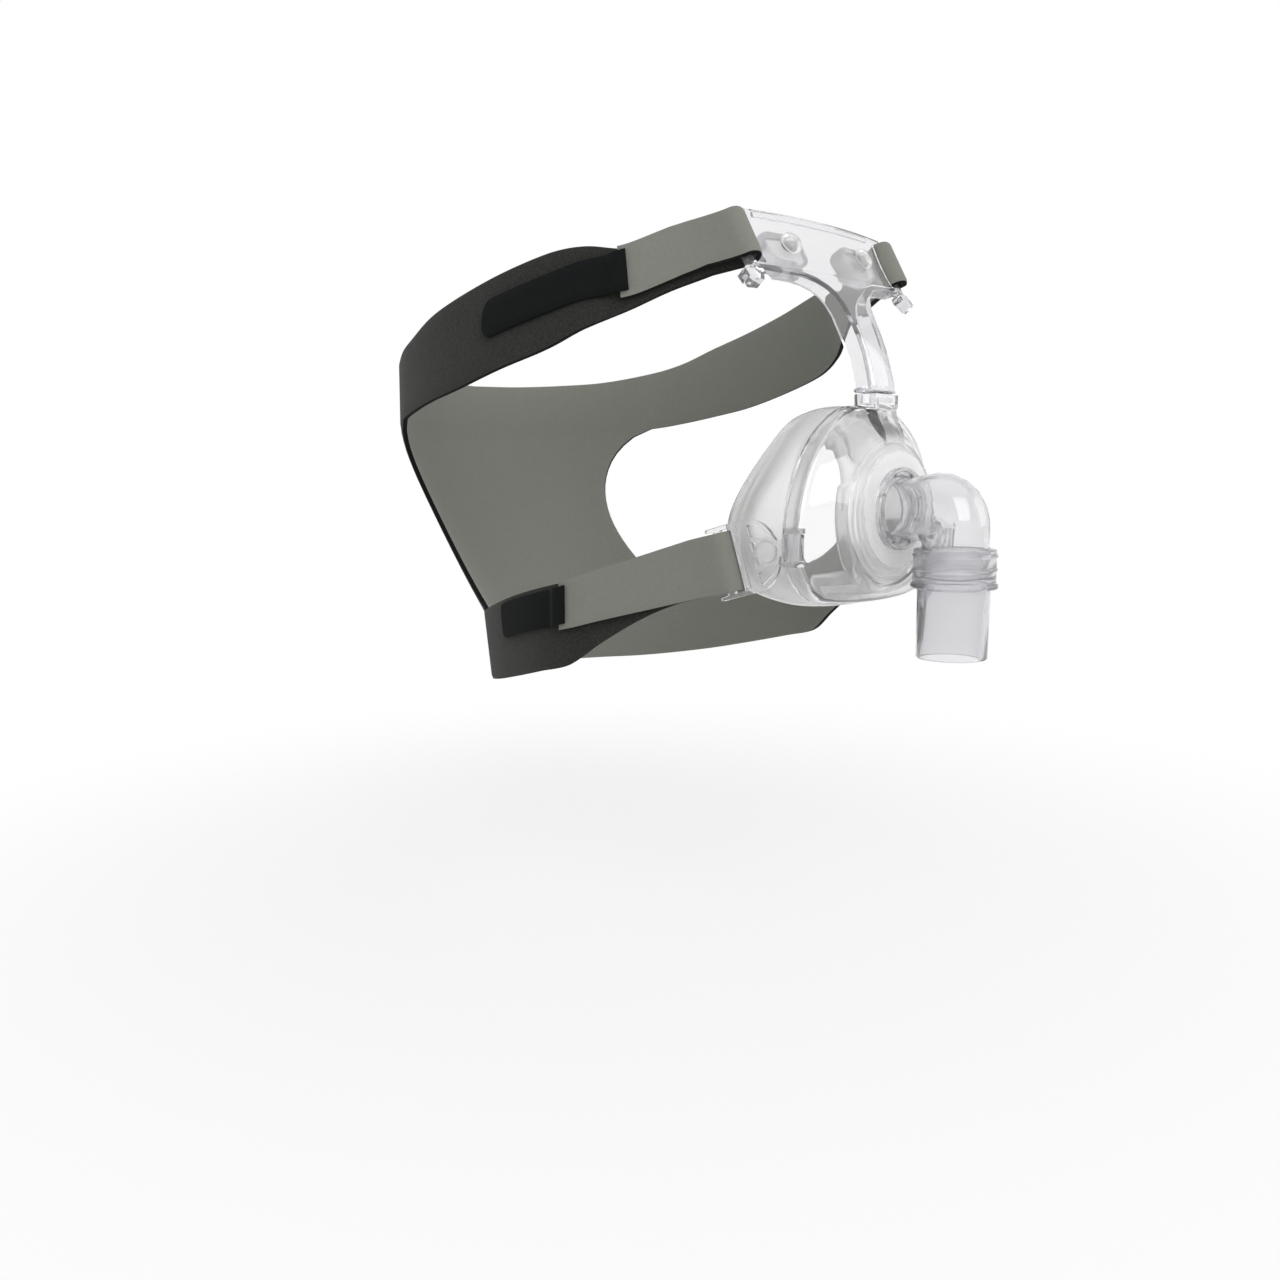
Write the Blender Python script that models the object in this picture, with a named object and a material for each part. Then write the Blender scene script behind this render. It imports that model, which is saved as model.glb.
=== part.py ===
"""Nasal CPAP mask with swivel elbow, forehead support, strap clips and four-strap headgear.

Metres, +Z up. The wearer faces -Y and the wearer's right side is at -X. The origin is on the axis
of the elbow port, at the centre of the cushion's opening for the face. Every piece is symmetric
about the plane x = 0 or has a mirrored partner.
"""
import bmesh
import bpy
import numpy as np
from math import atan2, cos, hypot, pi, radians, sin
from mathutils import Vector

for old in list(bpy.data.objects):
    bpy.data.objects.remove(old, do_unlink=True)

# Clearances and resolution
GAP = 0.0003
SWIVEL_GAP = 0.0004
AROUND = 44
ROUND = 24
CUFF_ROUND = 32

# Frame shell: a rounded triangle seen from the front, in (x, z), half of it
RIM_HALF = [(0.0, 0.0336), (0.012, 0.0324), (0.0215, 0.0272), (0.0285, 0.0203), (0.0337, 0.0115),
            (0.0371, 0.0013), (0.0385, -0.0080), (0.0372, -0.0176), (0.0330, -0.0242), (0.0240, -0.0294),
            (0.0, -0.0312)]
RIM_HALF_WIDTH = 0.0385
RIM_BACK_MID = -0.0250
RIM_BACK_SIDE = -0.0243
SKIRT_DEPTH = 0.0062
SKIRT_ROLL = 0.0032
CHIN_EXTRA_DEPTH = 0.0023
SHELL_WALL = 0.0018
FACE_FLARE = 1.4
BOSS_RADIUS = 0.0223
BOSS_DROP = 0.0015
BOSS_FRONT = -0.0412
BOSS_HEIGHT = 0.0029
BOSS_STEPS = 3
VALLEY_RADIUS = 0.0013

# Elbow port in the shell and the elbow's base that turns in it
PORT_BORE_RADIUS = 0.0113
PORT_RING_RADIUS = 0.0134
PORT_RING_WALL = 0.0010
PORT_RING_FRONT = -0.0430
PORT_RECESS_DEPTH = 0.0023
PORT_FLOOR_WALL = 0.0022
ELBOW_WALL = 0.0016
ELBOW_LEG_RADIUS = 0.0100
ELBOW_DROP_RADIUS = 0.0103
ELBOW_BEND_RADIUS = 0.0165
ELBOW_TOP = 0.0118
CUFF_AXIS_Y = -0.0620
ELBOW_HEEL_FILLET = 0.0012
ELBOW_LEG_END = -0.0208
FLANGE_THICKNESS = 0.0014
SNAP_LIP = 0.00045
SNAP_LENGTH = 0.0014
VENTS = 8
VENT_RADIUS = 0.00065

# Swivel cuff: collar on the elbow's leg and the 22 mm hose connector below it
CONNECTOR_DIAMETER = 0.0220
CONNECTOR_TAPER = 0.0004
CONNECTOR_BORE = 0.0186
CUFF_TOP = -0.0116
COLLAR_RADIUS = 0.0127
COLLAR_LENGTH = 0.0110
COLLAR_FLANGE_RADIUS = 0.01335
COLLAR_FLANGE_LENGTH = 0.0015
CONNECTOR_LENGTH = 0.0221
COLLAR_BEADS = [0.0022, 0.0064]
BEAD_HEIGHT = 0.00035

# Cushion: wall behind the rim, rolled edge on the face and the thin membrane with the nose opening
CUSHION_WALL = 0.0016
MEMBRANE = 0.0009
WALL_BULGE = 0.0010
FACE_HALF = [(0.0, 0.0316), (0.0115, 0.0300), (0.0225, 0.0205), (0.0315, 0.0080), (0.0358, -0.0040),
             (0.0350, -0.0160), (0.0310, -0.0262), (0.0210, -0.0312), (0.0100, -0.0322), (0.0, -0.0322)]
FACE_HALF_WIDTH = 0.0358
BRIDGE_Y = -0.0040
LIP_Y = -0.0150
CHEEK_Y = 0.0030
MEMBRANE_REACH = 0.0110
SUPPORT_REACH = 0.0066

# Lugs on the shell's sides, with the pins that the strap clips turn on
PIN_X = 0.0422
PIN_Y = -0.0320
PIN_MID_Z = -0.0110
PIN_RADIUS = 0.0015
LUG_RADIUS = 0.0035
LUG_THICKNESS = 0.0016
BARREL_HEIGHT = 0.0080
BARREL_WALL = 0.0012
LUG_ROOT_X = 0.0373
LUG_ROOT_Y = (-0.0298, -0.0262)

# Strap clips: flat skeletons that lie in a vertical plane and slope with the strap
CLIP_HEADING = radians(17.5)
CLIP_SLOPE = radians(16.0)
CLIP_THICKNESS = 0.0022
CLIP_BOSS_AT = 0.0088
CLIP_BOSS_RADIUS = 0.0036
CLIP_ARC_AT = 0.0150
CLIP_SLOT_AT = 0.0189
CLIP_SLOT_WIDTH = 0.0037
CLIP_BAR_WIDTH = 0.0024
CLIP_RIB = 0.0014
CLIP_SHOULDER_AT = 0.0057
CLIP_EAR_LENGTH = 0.0027
CLIP_BEAD_WIDTH = 0.0018
CLIP_BEAD_HEIGHT = 0.0006
STRAP_SIDE_PLAY = 0.0007

# Forehead support: a channel-shaped arm that rises from the shell and spreads into the crossbar
ARM_SPINE = [(0.0295, -0.0352), (0.0350, -0.0345), (0.0400, -0.0333), (0.0460, -0.0320),
             (0.0540, -0.0290), (0.0620, -0.0250), (0.0700, -0.0205), (0.0740, -0.0175),
             (0.0780, -0.0143), (0.0840, -0.0105), (0.0900, -0.0075), (0.0965, -0.0050)]
ARM_HALF_WIDTH = 0.0066
ARM_FOOT_Z = 0.0374
ARM_WALL = 0.0020
ARM_DEPTH = 0.0068
CROSSBAR_HALF = 0.0410
CROSSBAR_BOTTOM = 0.0742
CROSSBAR_TOP = 0.0942
CROSSBAR_BOW = 0.0040
CROSSBAR_CROWN = 0.0004
CROSSBAR_RIM_DEPTH = 0.0040
STRAP_BAR_WIDTH = 0.0028
STRAP_SLOT_WIDTH = 0.0042
STRAP_SLOT_PLAY = 0.0010
CROSSBAR_EAR = 0.0030
CROSSBAR_EAR_DROP = 0.0058
CROSSBAR_EAR_DEPTHS = (0.0004, 0.0042)
TONGUE_HALF_WIDTH = 0.0050
TONGUE_DEPTH = 0.0036
TONGUE_LENGTH = 0.0034
SOCKET_WALL = 0.0015
SOCKET_TOP = 0.0368
SOCKET_BASE = 0.0324
BUTTRESS_HALF_WIDTH = 0.0050

# Forehead pads, buttoned into the crossbar
PEG_X = 0.0195
PEG_Z = 0.0840
PEG_RADIUS = 0.0021
PEG_HEAD_RADIUS = 0.0038
PEG_HEAD_HEIGHT = 0.0024
PAD_HALF_WIDTH = 0.0090
PAD_HALF_HEIGHT = 0.0062
PAD_CORNER = 0.0040
PAD_THICKNESS = 0.0065

# Headgear: foam laminate cut in one piece, worn round the head
LAMINATE = 0.0024
HEAD_HALF_WIDTH = 0.0760
HEAD_HALF_LENGTH = 0.0990
HEAD_CENTRE_Y = 0.0920
HEAD_ROUNDNESS = 2.1
UPPER_STRAP_WIDTH = 0.0165
LOWER_STRAP_WIDTH = 0.0190
UPPER_RETURN = 0.0400
LOWER_RETURN = 0.0640
RETURN_GAP = 0.0005
TAB_THICKNESS = 0.0012
RETURN_RISE = 0.0018
RETURN_TAPER = 0.13
TAB_OVERLAP = 0.0030
UPPER_TAB_LENGTH = 0.0540
LOWER_TAB_LENGTH = 0.0390
TAB_WIDTH = 0.0130
UPPER_TAB_CORNER = 0.0045
LOWER_TAB_CORNER = 0.0022
TAB_STATIONS = 15

# Upper band, by the angle round the head (90 is the back): top edge and bottom edge
UPPER_BAND = [(90, 0.0520, 0.0290), (75, 0.0525, 0.0292), (60, 0.0535, 0.0300), (45, 0.0550, 0.0312),
              (30, 0.0585, 0.0330), (20, 0.0622, 0.0352), (10, 0.0680, 0.0380), (0, 0.0730, 0.0412),
              (-12, 0.0787, 0.0466), (-24, 0.0835, 0.0520), (-32, 0.0850, 0.0580)]
# Lower band, from the nape forwards: share of the neck's half width, y, top edge and bottom edge
NECK_INSET = 0.0075
LOWER_BAND = [(0.0, 0.1435, -0.0436, -0.0712), (0.204, 0.1420, -0.0436, -0.0712),
              (0.401, 0.1358, -0.0434, -0.0710), (0.600, 0.1248, -0.0428, -0.0704),
              (0.752, 0.1112, -0.0410, -0.0686), (0.866, 0.0950, -0.0369, -0.0657),
              (0.946, 0.0775, -0.0322, -0.0618), (0.993, 0.0600, -0.0281, -0.0575),
              (0.982, 0.0450, -0.0246, -0.0535), (0.933, 0.0330, -0.0206, -0.0450)]
NECK_LEAN = 0.10
NECK_LEAN_FROM_Y = 0.045
NECK_LEAN_OVER = 0.040
BAND_CURL_RADIUS = 0.222
BAND_CURL_ABOVE = 0.050
BAND_SLACK = 0.0022
PANEL_WAIST = 0.80
PANEL_ROWS = 8
PANEL_STATIONS = 13
BAND_SPANS = 3
BAND_COLUMNS = 3


def arc(centre, radius, start, end, count):
    """Points on an arc in a plane, from start to end in radians, both ends included."""
    return [(centre[0] + radius * cos(a), centre[1] + radius * sin(a))
            for a in np.linspace(start, end, count)]


def smooth_path(points, per_span):
    """Catmull-Rom curve through the points, each a tuple of any length."""
    pts = [np.array(p, float) for p in points]
    pts = [2 * pts[0] - pts[1]] + pts + [2 * pts[-1] - pts[-2]]
    out = []
    for p0, p1, p2, p3 in zip(pts, pts[1:], pts[2:], pts[3:]):
        for s in np.arange(per_span) / per_span:
            out.append(0.5 * (2 * p1 + (p2 - p0) * s + (2 * p0 - 5 * p1 + 4 * p2 - p3) * s ** 2
                              + (3 * p1 - p0 - 3 * p2 + p3) * s ** 3))
    return out + [pts[-2]]


def polar_outline(half):
    """Radius from the origin at AROUND even angles, for a half outline mirrored about x = 0."""
    left = [(-x, z) for x, z in half[-2:0:-1]]
    loop = half + left
    closed = loop[-3:] + loop + loop[:4]
    dense = smooth_path(closed, 10)
    angles = np.unwrap([atan2(p[1], p[0]) for p in dense])
    radii = [hypot(p[0], p[1]) for p in dense]
    order = np.argsort(angles)
    wanted = np.array([pi / 2 + 2 * pi * k / AROUND for k in range(AROUND)])
    low = angles.min() + 2 * pi / AROUND
    wanted = low + np.mod(wanted - low, 2 * pi)
    return np.interp(wanted, angles[order], np.array(radii)[order])


ANGLES = [pi / 2 + 2 * pi * k / AROUND for k in range(AROUND)]


def material(name, colour, roughness, alpha=1.0, transmission=0.0):
    """Principled material of a plain colour."""
    made = bpy.data.materials.new(name)
    made.use_nodes = True
    shader = made.node_tree.nodes["Principled BSDF"]
    shader.inputs["Base Color"].default_value = (*colour, 1.0)
    shader.inputs["Roughness"].default_value = roughness
    shader.inputs["Alpha"].default_value = alpha
    shader.inputs["Transmission Weight"].default_value = transmission
    made.diffuse_color = (*colour, alpha)
    return made


CLEAR = material("clear_polycarbonate", (0.90, 0.91, 0.95), 0.08, 0.45, 0.8)
SILICONE = material("clear_silicone", (0.88, 0.89, 0.90), 0.30, 0.55, 0.5)
FELT = material("loop_laminate", (0.050, 0.050, 0.046), 0.95)
HOOK = material("hook_tape", (0.010, 0.011, 0.011), 0.70)


def solid(name, verts, faces, finish, origin=(0.0, 0.0, 0.0)):
    """A named object from points in the world, with its own origin and outward faces."""
    base = Vector(origin)
    mesh = bpy.data.meshes.new(name)
    bm = bmesh.new()
    made = [bm.verts.new(Vector(v) - base) for v in verts]
    for face in faces:
        bm.faces.new([made[i] for i in face])
    bmesh.ops.recalc_face_normals(bm, faces=bm.faces)
    bm.to_mesh(mesh)
    bm.free()
    mesh.shade_smooth()
    mesh.set_sharp_from_angle(angle=radians(35))
    thing = bpy.data.objects.new(name, mesh)
    bpy.context.collection.objects.link(thing)
    thing.location = base
    if finish:
        mesh.materials.append(finish)
    return thing


def loft(rings, tube=False):
    """Points and faces of a skin over equal rings: capped at both ends, or joined end to end."""
    count = len(rings[0])
    verts = [p for ring in rings for p in ring]
    faces = []
    last = len(rings) if tube else len(rings) - 1
    for i in range(last):
        a = i * count
        b = ((i + 1) % len(rings)) * count
        for j in range(count):
            k = (j + 1) % count
            faces.append((a + j, a + k, b + k, b + j))
    if not tube:
        faces.append(tuple(range(count)))
        faces.append(tuple(len(verts) - count + j for j in range(count)))
    return verts, faces


def cut(target, cutter, operation="DIFFERENCE"):
    """Boolean modifier on the target; the cutter stays in the file as a wire guide."""
    cutter.hide_render = True
    cutter.display_type = "WIRE"
    step = target.modifiers.new(operation.lower() + "_" + cutter.name, "BOOLEAN")
    step.operation = operation
    step.solver = "EXACT"
    step.object = cutter


def prism(name, outline, place, low, high):
    """A straight prism: the outline's points go through place(u, v, w) at w = low and w = high."""
    rings = [[place(u, v, w) for u, v in outline] for w in (low, high)]
    verts, faces = loft(rings)
    return solid(name, verts, faces, None)


def turned(profile, centre, axis, count=ROUND):
    """Rings of a profile of (radius, distance along the axis); axis is "y" or "z"."""
    rings = []
    for radius, along in profile:
        ring = []
        for k in range(count):
            a = 2 * pi * k / count
            if axis == "z":
                ring.append((centre[0] + radius * cos(a), centre[1] + radius * sin(a), centre[2] + along))
            else:
                ring.append((centre[0] + radius * cos(a), centre[1] + along, centre[2] + radius * sin(a)))
        rings.append(ring)
    return rings


def mix(a, b, share):
    """Straight blend from a to b."""
    return a + (b - a) * share


# Frame shell

RIM = polar_outline(RIM_HALF)
PORT_FLOOR_Y = PORT_RING_FRONT + PORT_RECESS_DEPTH
PORT_BACK_Y = PORT_FLOOR_Y + PORT_FLOOR_WALL
PORT_RECESS_RADIUS = PORT_RING_RADIUS - PORT_RING_WALL


def rim_back(radius, angle):
    """Depth of the rim's back edge: it sweeps back round the cheeks."""
    share = radius * cos(angle) / RIM_HALF_WIDTH
    return mix(RIM_BACK_MID, RIM_BACK_SIDE, share * share)


def rim_front(radius, angle):
    """Depth of the skirt's front edge, a little further forward over the lip."""
    over_lip = max(0.0, -sin(angle))
    return rim_back(radius, angle) - SKIRT_DEPTH - CHIN_EXTRA_DEPTH * over_lip


def face_path(radius, angle):
    """The shell's face from the skirt's front edge down to the foot of the boss."""
    front = rim_front(radius, angle)
    start = radius - SKIRT_ROLL
    foot = BOSS_RADIUS - BOSS_DROP * sin(angle) + VALLEY_RADIUS
    return [(mix(start, foot, share), mix(front, BOSS_FRONT + BOSS_HEIGHT, share ** FACE_FLARE))
            for share in (0.0, 0.35, 0.75, 1.0)]


def shell_section(radius, angle):
    """One section of the shell from the rim's back edge to the port and back along the inside."""
    back = rim_back(radius, angle)
    front = rim_front(radius, angle)
    boss = BOSS_RADIUS - BOSS_DROP * sin(angle)
    valley_y = BOSS_FRONT + BOSS_HEIGHT
    outer = [(radius, back), (radius - 0.0004, mix(back, front, 0.55)),
             (radius - 0.0009, front + 0.0014), (radius - 0.0018, front + 0.0004)]
    outer += face_path(radius, angle)
    step_r = (boss - PORT_RING_RADIUS - 0.0045) / BOSS_STEPS
    step_y = (valley_y - 0.0002 - BOSS_FRONT) / BOSS_STEPS
    for k in range(BOSS_STEPS):
        r = boss - k * step_r
        y = valley_y - k * step_y
        outer += [(r, y - 0.0001), (r - 0.0006, y - step_y)]
    outer += [(PORT_RING_RADIUS + 0.0008, BOSS_FRONT), (PORT_RING_RADIUS, BOSS_FRONT - 0.0003),
              (PORT_RING_RADIUS, PORT_RING_FRONT + 0.0003), (PORT_RING_RADIUS - 0.0003, PORT_RING_FRONT),
              (PORT_RECESS_RADIUS, PORT_RING_FRONT), (PORT_RECESS_RADIUS, PORT_FLOOR_Y),
              (PORT_BORE_RADIUS, PORT_FLOOR_Y)]
    inner_boss = boss - SHELL_WALL
    inner_foot = boss + VALLEY_RADIUS - 0.0008
    inner = [(PORT_BORE_RADIUS, PORT_BACK_Y), (PORT_RING_RADIUS + 0.0012, PORT_BACK_Y),
             (inner_boss - BOSS_STEPS * step_r, BOSS_FRONT + SHELL_WALL + 0.0006),
             (inner_boss, valley_y + SHELL_WALL), (inner_foot, valley_y + SHELL_WALL + 0.0002)]
    skirt_in = radius - SHELL_WALL
    for share in (0.6, 0.15):
        inner.append((mix(skirt_in - 0.0016, inner_foot, share),
                      mix(front, valley_y, share ** FACE_FLARE) + SHELL_WALL + 0.0002))
    inner += [(skirt_in - 0.0006, front + SHELL_WALL + 0.0008), (skirt_in, back)]
    return outer + inner


def build_shell():
    """The frame: skirt, dished face, stepped boss, port, forehead socket and clip lugs."""
    sections = [shell_section(r, a) for r, a in zip(RIM, ANGLES)]
    rings = []
    for k in range(len(sections[0])):
        rings.append([(s[k][0] * cos(a), s[k][1], s[k][0] * sin(a)) for s, a in zip(sections, ANGLES)])
    verts, faces = loft(rings, tube=True)
    shell = solid("frame_shell", verts, faces, CLEAR)

    half = TONGUE_HALF_WIDTH + SOCKET_WALL + GAP
    front = spine_y(SOCKET_TOP) - 0.0010
    back = front + TONGUE_DEPTH + 2 * SOCKET_WALL + 2 * GAP + 0.0012
    block = prism("socket_block", rounded_rectangle(half, (back - front) / 2, 0.0008, 3),
                  lambda u, v, w: (u, (front + back) / 2 + v, w), SOCKET_BASE, SOCKET_TOP)
    cut(shell, block, "UNION")
    face = face_path(RIM[0], ANGLES[0])
    sunk = [(y + SHELL_WALL / 2, r) for r, y in face]
    foot_r, foot_y = face[-1]
    buttress = [(front - 0.0002, SOCKET_TOP - 0.0012), (front - 0.0005, face[0][0]),
                (foot_y + 0.0001, foot_r + 0.0026), (foot_y - 0.0006, foot_r - 0.0003),
                (foot_y - 0.0003, foot_r - 0.0018), (foot_y + 0.0007, foot_r - 0.0016)]
    buttress += sunk[::-1] + [(sunk[0][0], SOCKET_TOP - 0.0012)]
    wedge = prism("socket_buttress", buttress, lambda u, v, w: (w, u, v),
                  -BUTTRESS_HALF_WIDTH, BUTTRESS_HALF_WIDTH)
    cut(shell, wedge, "UNION")
    pocket_mid = tongue_mid_y()
    pocket = prism("socket_pocket", rounded_rectangle(TONGUE_HALF_WIDTH + GAP, TONGUE_DEPTH / 2 + GAP, 0.0006, 3),
                   lambda u, v, w: (u, pocket_mid + v, w),
                   ARM_FOOT_Z - TONGUE_LENGTH - 2 * GAP, SOCKET_TOP + 0.002)
    cut(shell, pocket)

    for side in (-1, 1):
        for level in (1, -1):
            plate_mid = PIN_MID_Z + level * (BARREL_HEIGHT / 2 + GAP + LUG_THICKNESS / 2)
            outline = lug_outline()
            plate = prism("lug_plate", outline, lambda u, v, w, s=side: (s * u, v, w),
                          plate_mid - LUG_THICKNESS / 2, plate_mid + LUG_THICKNESS / 2)
            cut(shell, plate, "UNION")
        reach = BARREL_HEIGHT / 2 + GAP + LUG_THICKNESS / 2
        rings = turned([(PIN_RADIUS, -reach), (PIN_RADIUS, reach)], (side * PIN_X, PIN_Y, PIN_MID_Z), "z", 24)
        pin = solid("lug_pin", *loft(rings), None)
        cut(shell, pin, "UNION")
    return shell


def lug_outline():
    """Plan of one lug plate: round about the pin, with its root inside the skirt's wall."""
    facing = atan2(sum(LUG_ROOT_Y) / 2 - PIN_Y, LUG_ROOT_X - PIN_X)
    nose = arc((PIN_X, PIN_Y), LUG_RADIUS, facing + pi / 2, facing + 3 * pi / 2, 13)
    return nose + [(LUG_ROOT_X, LUG_ROOT_Y[1]), (LUG_ROOT_X, LUG_ROOT_Y[0])]


def rounded_rectangle(half_u, half_v, corner, steps):
    """Outline of a rectangle with round corners, anticlockwise."""
    out = []
    for k, (su, sv) in enumerate(((1, 1), (-1, 1), (-1, -1), (1, -1))):
        start = k * pi / 2
        out += arc((su * (half_u - corner), sv * (half_v - corner)), corner, start, start + pi / 2, steps)
    return out


# Elbow and swivel cuff

HEEL_Y = CUFF_AXIS_Y + ELBOW_DROP_RADIUS + ELBOW_HEEL_FILLET
HEEL_Z = -ELBOW_LEG_RADIUS - ELBOW_HEEL_FILLET
TOE_Y = CUFF_AXIS_Y - ELBOW_DROP_RADIUS
BEND_Y = TOE_Y + ELBOW_BEND_RADIUS
BEND_Z = ELBOW_TOP - ELBOW_BEND_RADIUS


def bend_reach(turn):
    """Distance from the heel to the elbow's outer outline, at an angle from straight up."""
    away = np.array((-sin(turn), cos(turn)))
    to_bend = np.array((HEEL_Y - BEND_Y, HEEL_Z - BEND_Z))
    half = away @ to_bend
    reach = -half + (half * half - to_bend @ to_bend + ELBOW_BEND_RADIUS ** 2) ** 0.5
    y, z = np.array((HEEL_Y, HEEL_Z)) + reach * away
    if y > BEND_Y:
        rise = (ELBOW_TOP - ELBOW_LEG_RADIUS) / (PORT_RING_FRONT - BEND_Y)
        reach = (ELBOW_TOP - (HEEL_Y - BEND_Y) * rise - HEEL_Z) / (cos(turn) - sin(turn) * rise)
    elif z < BEND_Z:
        reach = (HEEL_Y - TOE_Y) / sin(turn)
    return reach


def elbow_ring(centre_y, centre_z, turn, half_in, half_across):
    """One oval section of the elbow, in a plane through the heel."""
    ring = []
    for k in range(ROUND):
        a = 2 * pi * k / ROUND
        s = half_in * cos(a)
        ring.append((half_across * sin(a), centre_y - s * sin(turn), centre_z + s * cos(turn)))
    return ring


def elbow_skin(inset):
    """Sections from the port side to the end of the drop leg, moved inwards by inset."""
    rings = []
    for y in (PORT_RING_FRONT, mix(PORT_RING_FRONT, HEEL_Y, 0.5)):
        rings.append(elbow_ring(y, 0.0, 0.0, ELBOW_LEG_RADIUS - inset, ELBOW_LEG_RADIUS - inset))
    for turn in np.linspace(0.0, pi / 2, 9):
        near = ELBOW_HEEL_FILLET + inset
        far = bend_reach(turn) - inset
        mid = (near + far) / 2
        across = mix(ELBOW_LEG_RADIUS, ELBOW_DROP_RADIUS, turn / (pi / 2)) - inset
        rings.append(elbow_ring(HEEL_Y - mid * sin(turn), HEEL_Z + mid * cos(turn), turn,
                                (far - near) / 2, across))
    return rings


def drop_ring(radius, z):
    """A round section of the drop leg."""
    return elbow_ring(CUFF_AXIS_Y, z, pi / 2, radius, radius)


def port_ring(radius, y):
    """A round section on the port's axis."""
    return elbow_ring(y, 0.0, 0.0, radius, radius)


def build_elbow():
    """Right-angle elbow: snap base with vents, tube of even wall, drop leg with a snap bead."""
    neck = PORT_BORE_RADIUS - SWIVEL_GAP
    flange = PORT_RECESS_RADIUS - GAP
    flange_back = PORT_FLOOR_Y - GAP
    flange_front = flange_back - FLANGE_THICKNESS
    snap_front = PORT_BACK_Y + GAP
    tail = snap_front + SNAP_LENGTH
    bore = ELBOW_LEG_RADIUS - ELBOW_WALL
    bead_z = ELBOW_LEG_END + 0.0012
    bead = ELBOW_DROP_RADIUS + 0.0006
    outer = [port_ring(neck - 0.0006, tail), port_ring(neck, tail - 0.0006),
             port_ring(neck + SNAP_LIP, snap_front + 0.0004), port_ring(neck + SNAP_LIP, snap_front),
             port_ring(neck, snap_front - 0.0003), port_ring(neck, flange_back),
             port_ring(flange, flange_back), port_ring(flange, flange_front),
             port_ring(ELBOW_LEG_RADIUS, flange_front)]
    outer += elbow_skin(0.0)
    outer += [drop_ring(ELBOW_DROP_RADIUS, mix(HEEL_Z, ELBOW_LEG_END, 0.5)),
              drop_ring(ELBOW_DROP_RADIUS, bead_z + 0.0009), drop_ring(bead, bead_z + 0.0005),
              drop_ring(bead, bead_z), drop_ring(ELBOW_DROP_RADIUS - 0.0002, ELBOW_LEG_END)]
    inner = [drop_ring(ELBOW_DROP_RADIUS - ELBOW_WALL, ELBOW_LEG_END)]
    inner += elbow_skin(ELBOW_WALL)[::-1]
    inner += [port_ring(bore, tail)]
    pivot = (0.0, PORT_FLOOR_Y, 0.0)
    elbow = solid("elbow", *loft(outer + inner, tube=True), CLEAR, pivot)
    for k in range(VENTS):
        a = 2 * pi * (k + 0.5) / VENTS
        centre = ((neck + flange) / 2 * cos(a), 0.0, (neck + flange) / 2 * sin(a))
        rings = turned([(VENT_RADIUS, flange_front - 0.001), (VENT_RADIUS, tail + 0.001)], centre, "y", 8)
        cut(elbow, solid("vent_cutter", *loft(rings), None))
    return elbow


def build_cuff():
    """Collar that turns on the elbow's drop leg, with a 22 mm male cone for the hose."""
    inner = ELBOW_DROP_RADIUS + SWIVEL_GAP
    groove = ELBOW_DROP_RADIUS + 0.0006 + SWIVEL_GAP
    flange_z = CUFF_TOP - COLLAR_LENGTH
    shoulder = flange_z - COLLAR_FLANGE_LENGTH
    end = shoulder - CONNECTOR_LENGTH
    radius = CONNECTOR_DIAMETER / 2
    seat = ELBOW_LEG_END - GAP
    outer = [(inner + 0.0010, CUFF_TOP), (COLLAR_RADIUS, CUFF_TOP - 0.0005)]
    for down in COLLAR_BEADS:
        z = CUFF_TOP - down
        outer += [(COLLAR_RADIUS, z + 0.0005), (COLLAR_RADIUS + BEAD_HEIGHT, z + 0.0002),
                  (COLLAR_RADIUS + BEAD_HEIGHT, z - 0.0002), (COLLAR_RADIUS, z - 0.0005)]
    outer += [(COLLAR_RADIUS, flange_z + 0.0004), (COLLAR_FLANGE_RADIUS, flange_z),
              (COLLAR_FLANGE_RADIUS, shoulder + 0.0004), (COLLAR_FLANGE_RADIUS - 0.0004, shoulder),
              (radius + CONNECTOR_TAPER / 2 + 0.0003, shoulder), (radius + CONNECTOR_TAPER / 2, shoulder - 0.0004),
              (radius, end + 0.0005), (radius - 0.0003, end)]
    bead_z = ELBOW_LEG_END + 0.0012
    inside = [(CONNECTOR_BORE / 2, end), (CONNECTOR_BORE / 2, seat), (inner, seat),
              (groove, bead_z - 0.0006), (groove, bead_z + 0.0010), (inner, bead_z + 0.0015),
              (inner, CUFF_TOP)]
    rings = turned(outer + inside, (0.0, CUFF_AXIS_Y, 0.0), "z", CUFF_ROUND)
    return solid("swivel_cuff", *loft(rings, tube=True), CLEAR, (0.0, CUFF_AXIS_Y, seat))


# Cushion

FACE = polar_outline(FACE_HALF)


def face_depth(radius, angle):
    """Depth of the rolled edge that meets the face: bridge, cheeks and lip."""
    across = radius * cos(angle) / FACE_HALF_WIDTH
    upward = (sin(angle) + 1) / 2
    return mix(mix(LIP_Y, BRIDGE_Y, upward), CHEEK_Y, across * across)


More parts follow.
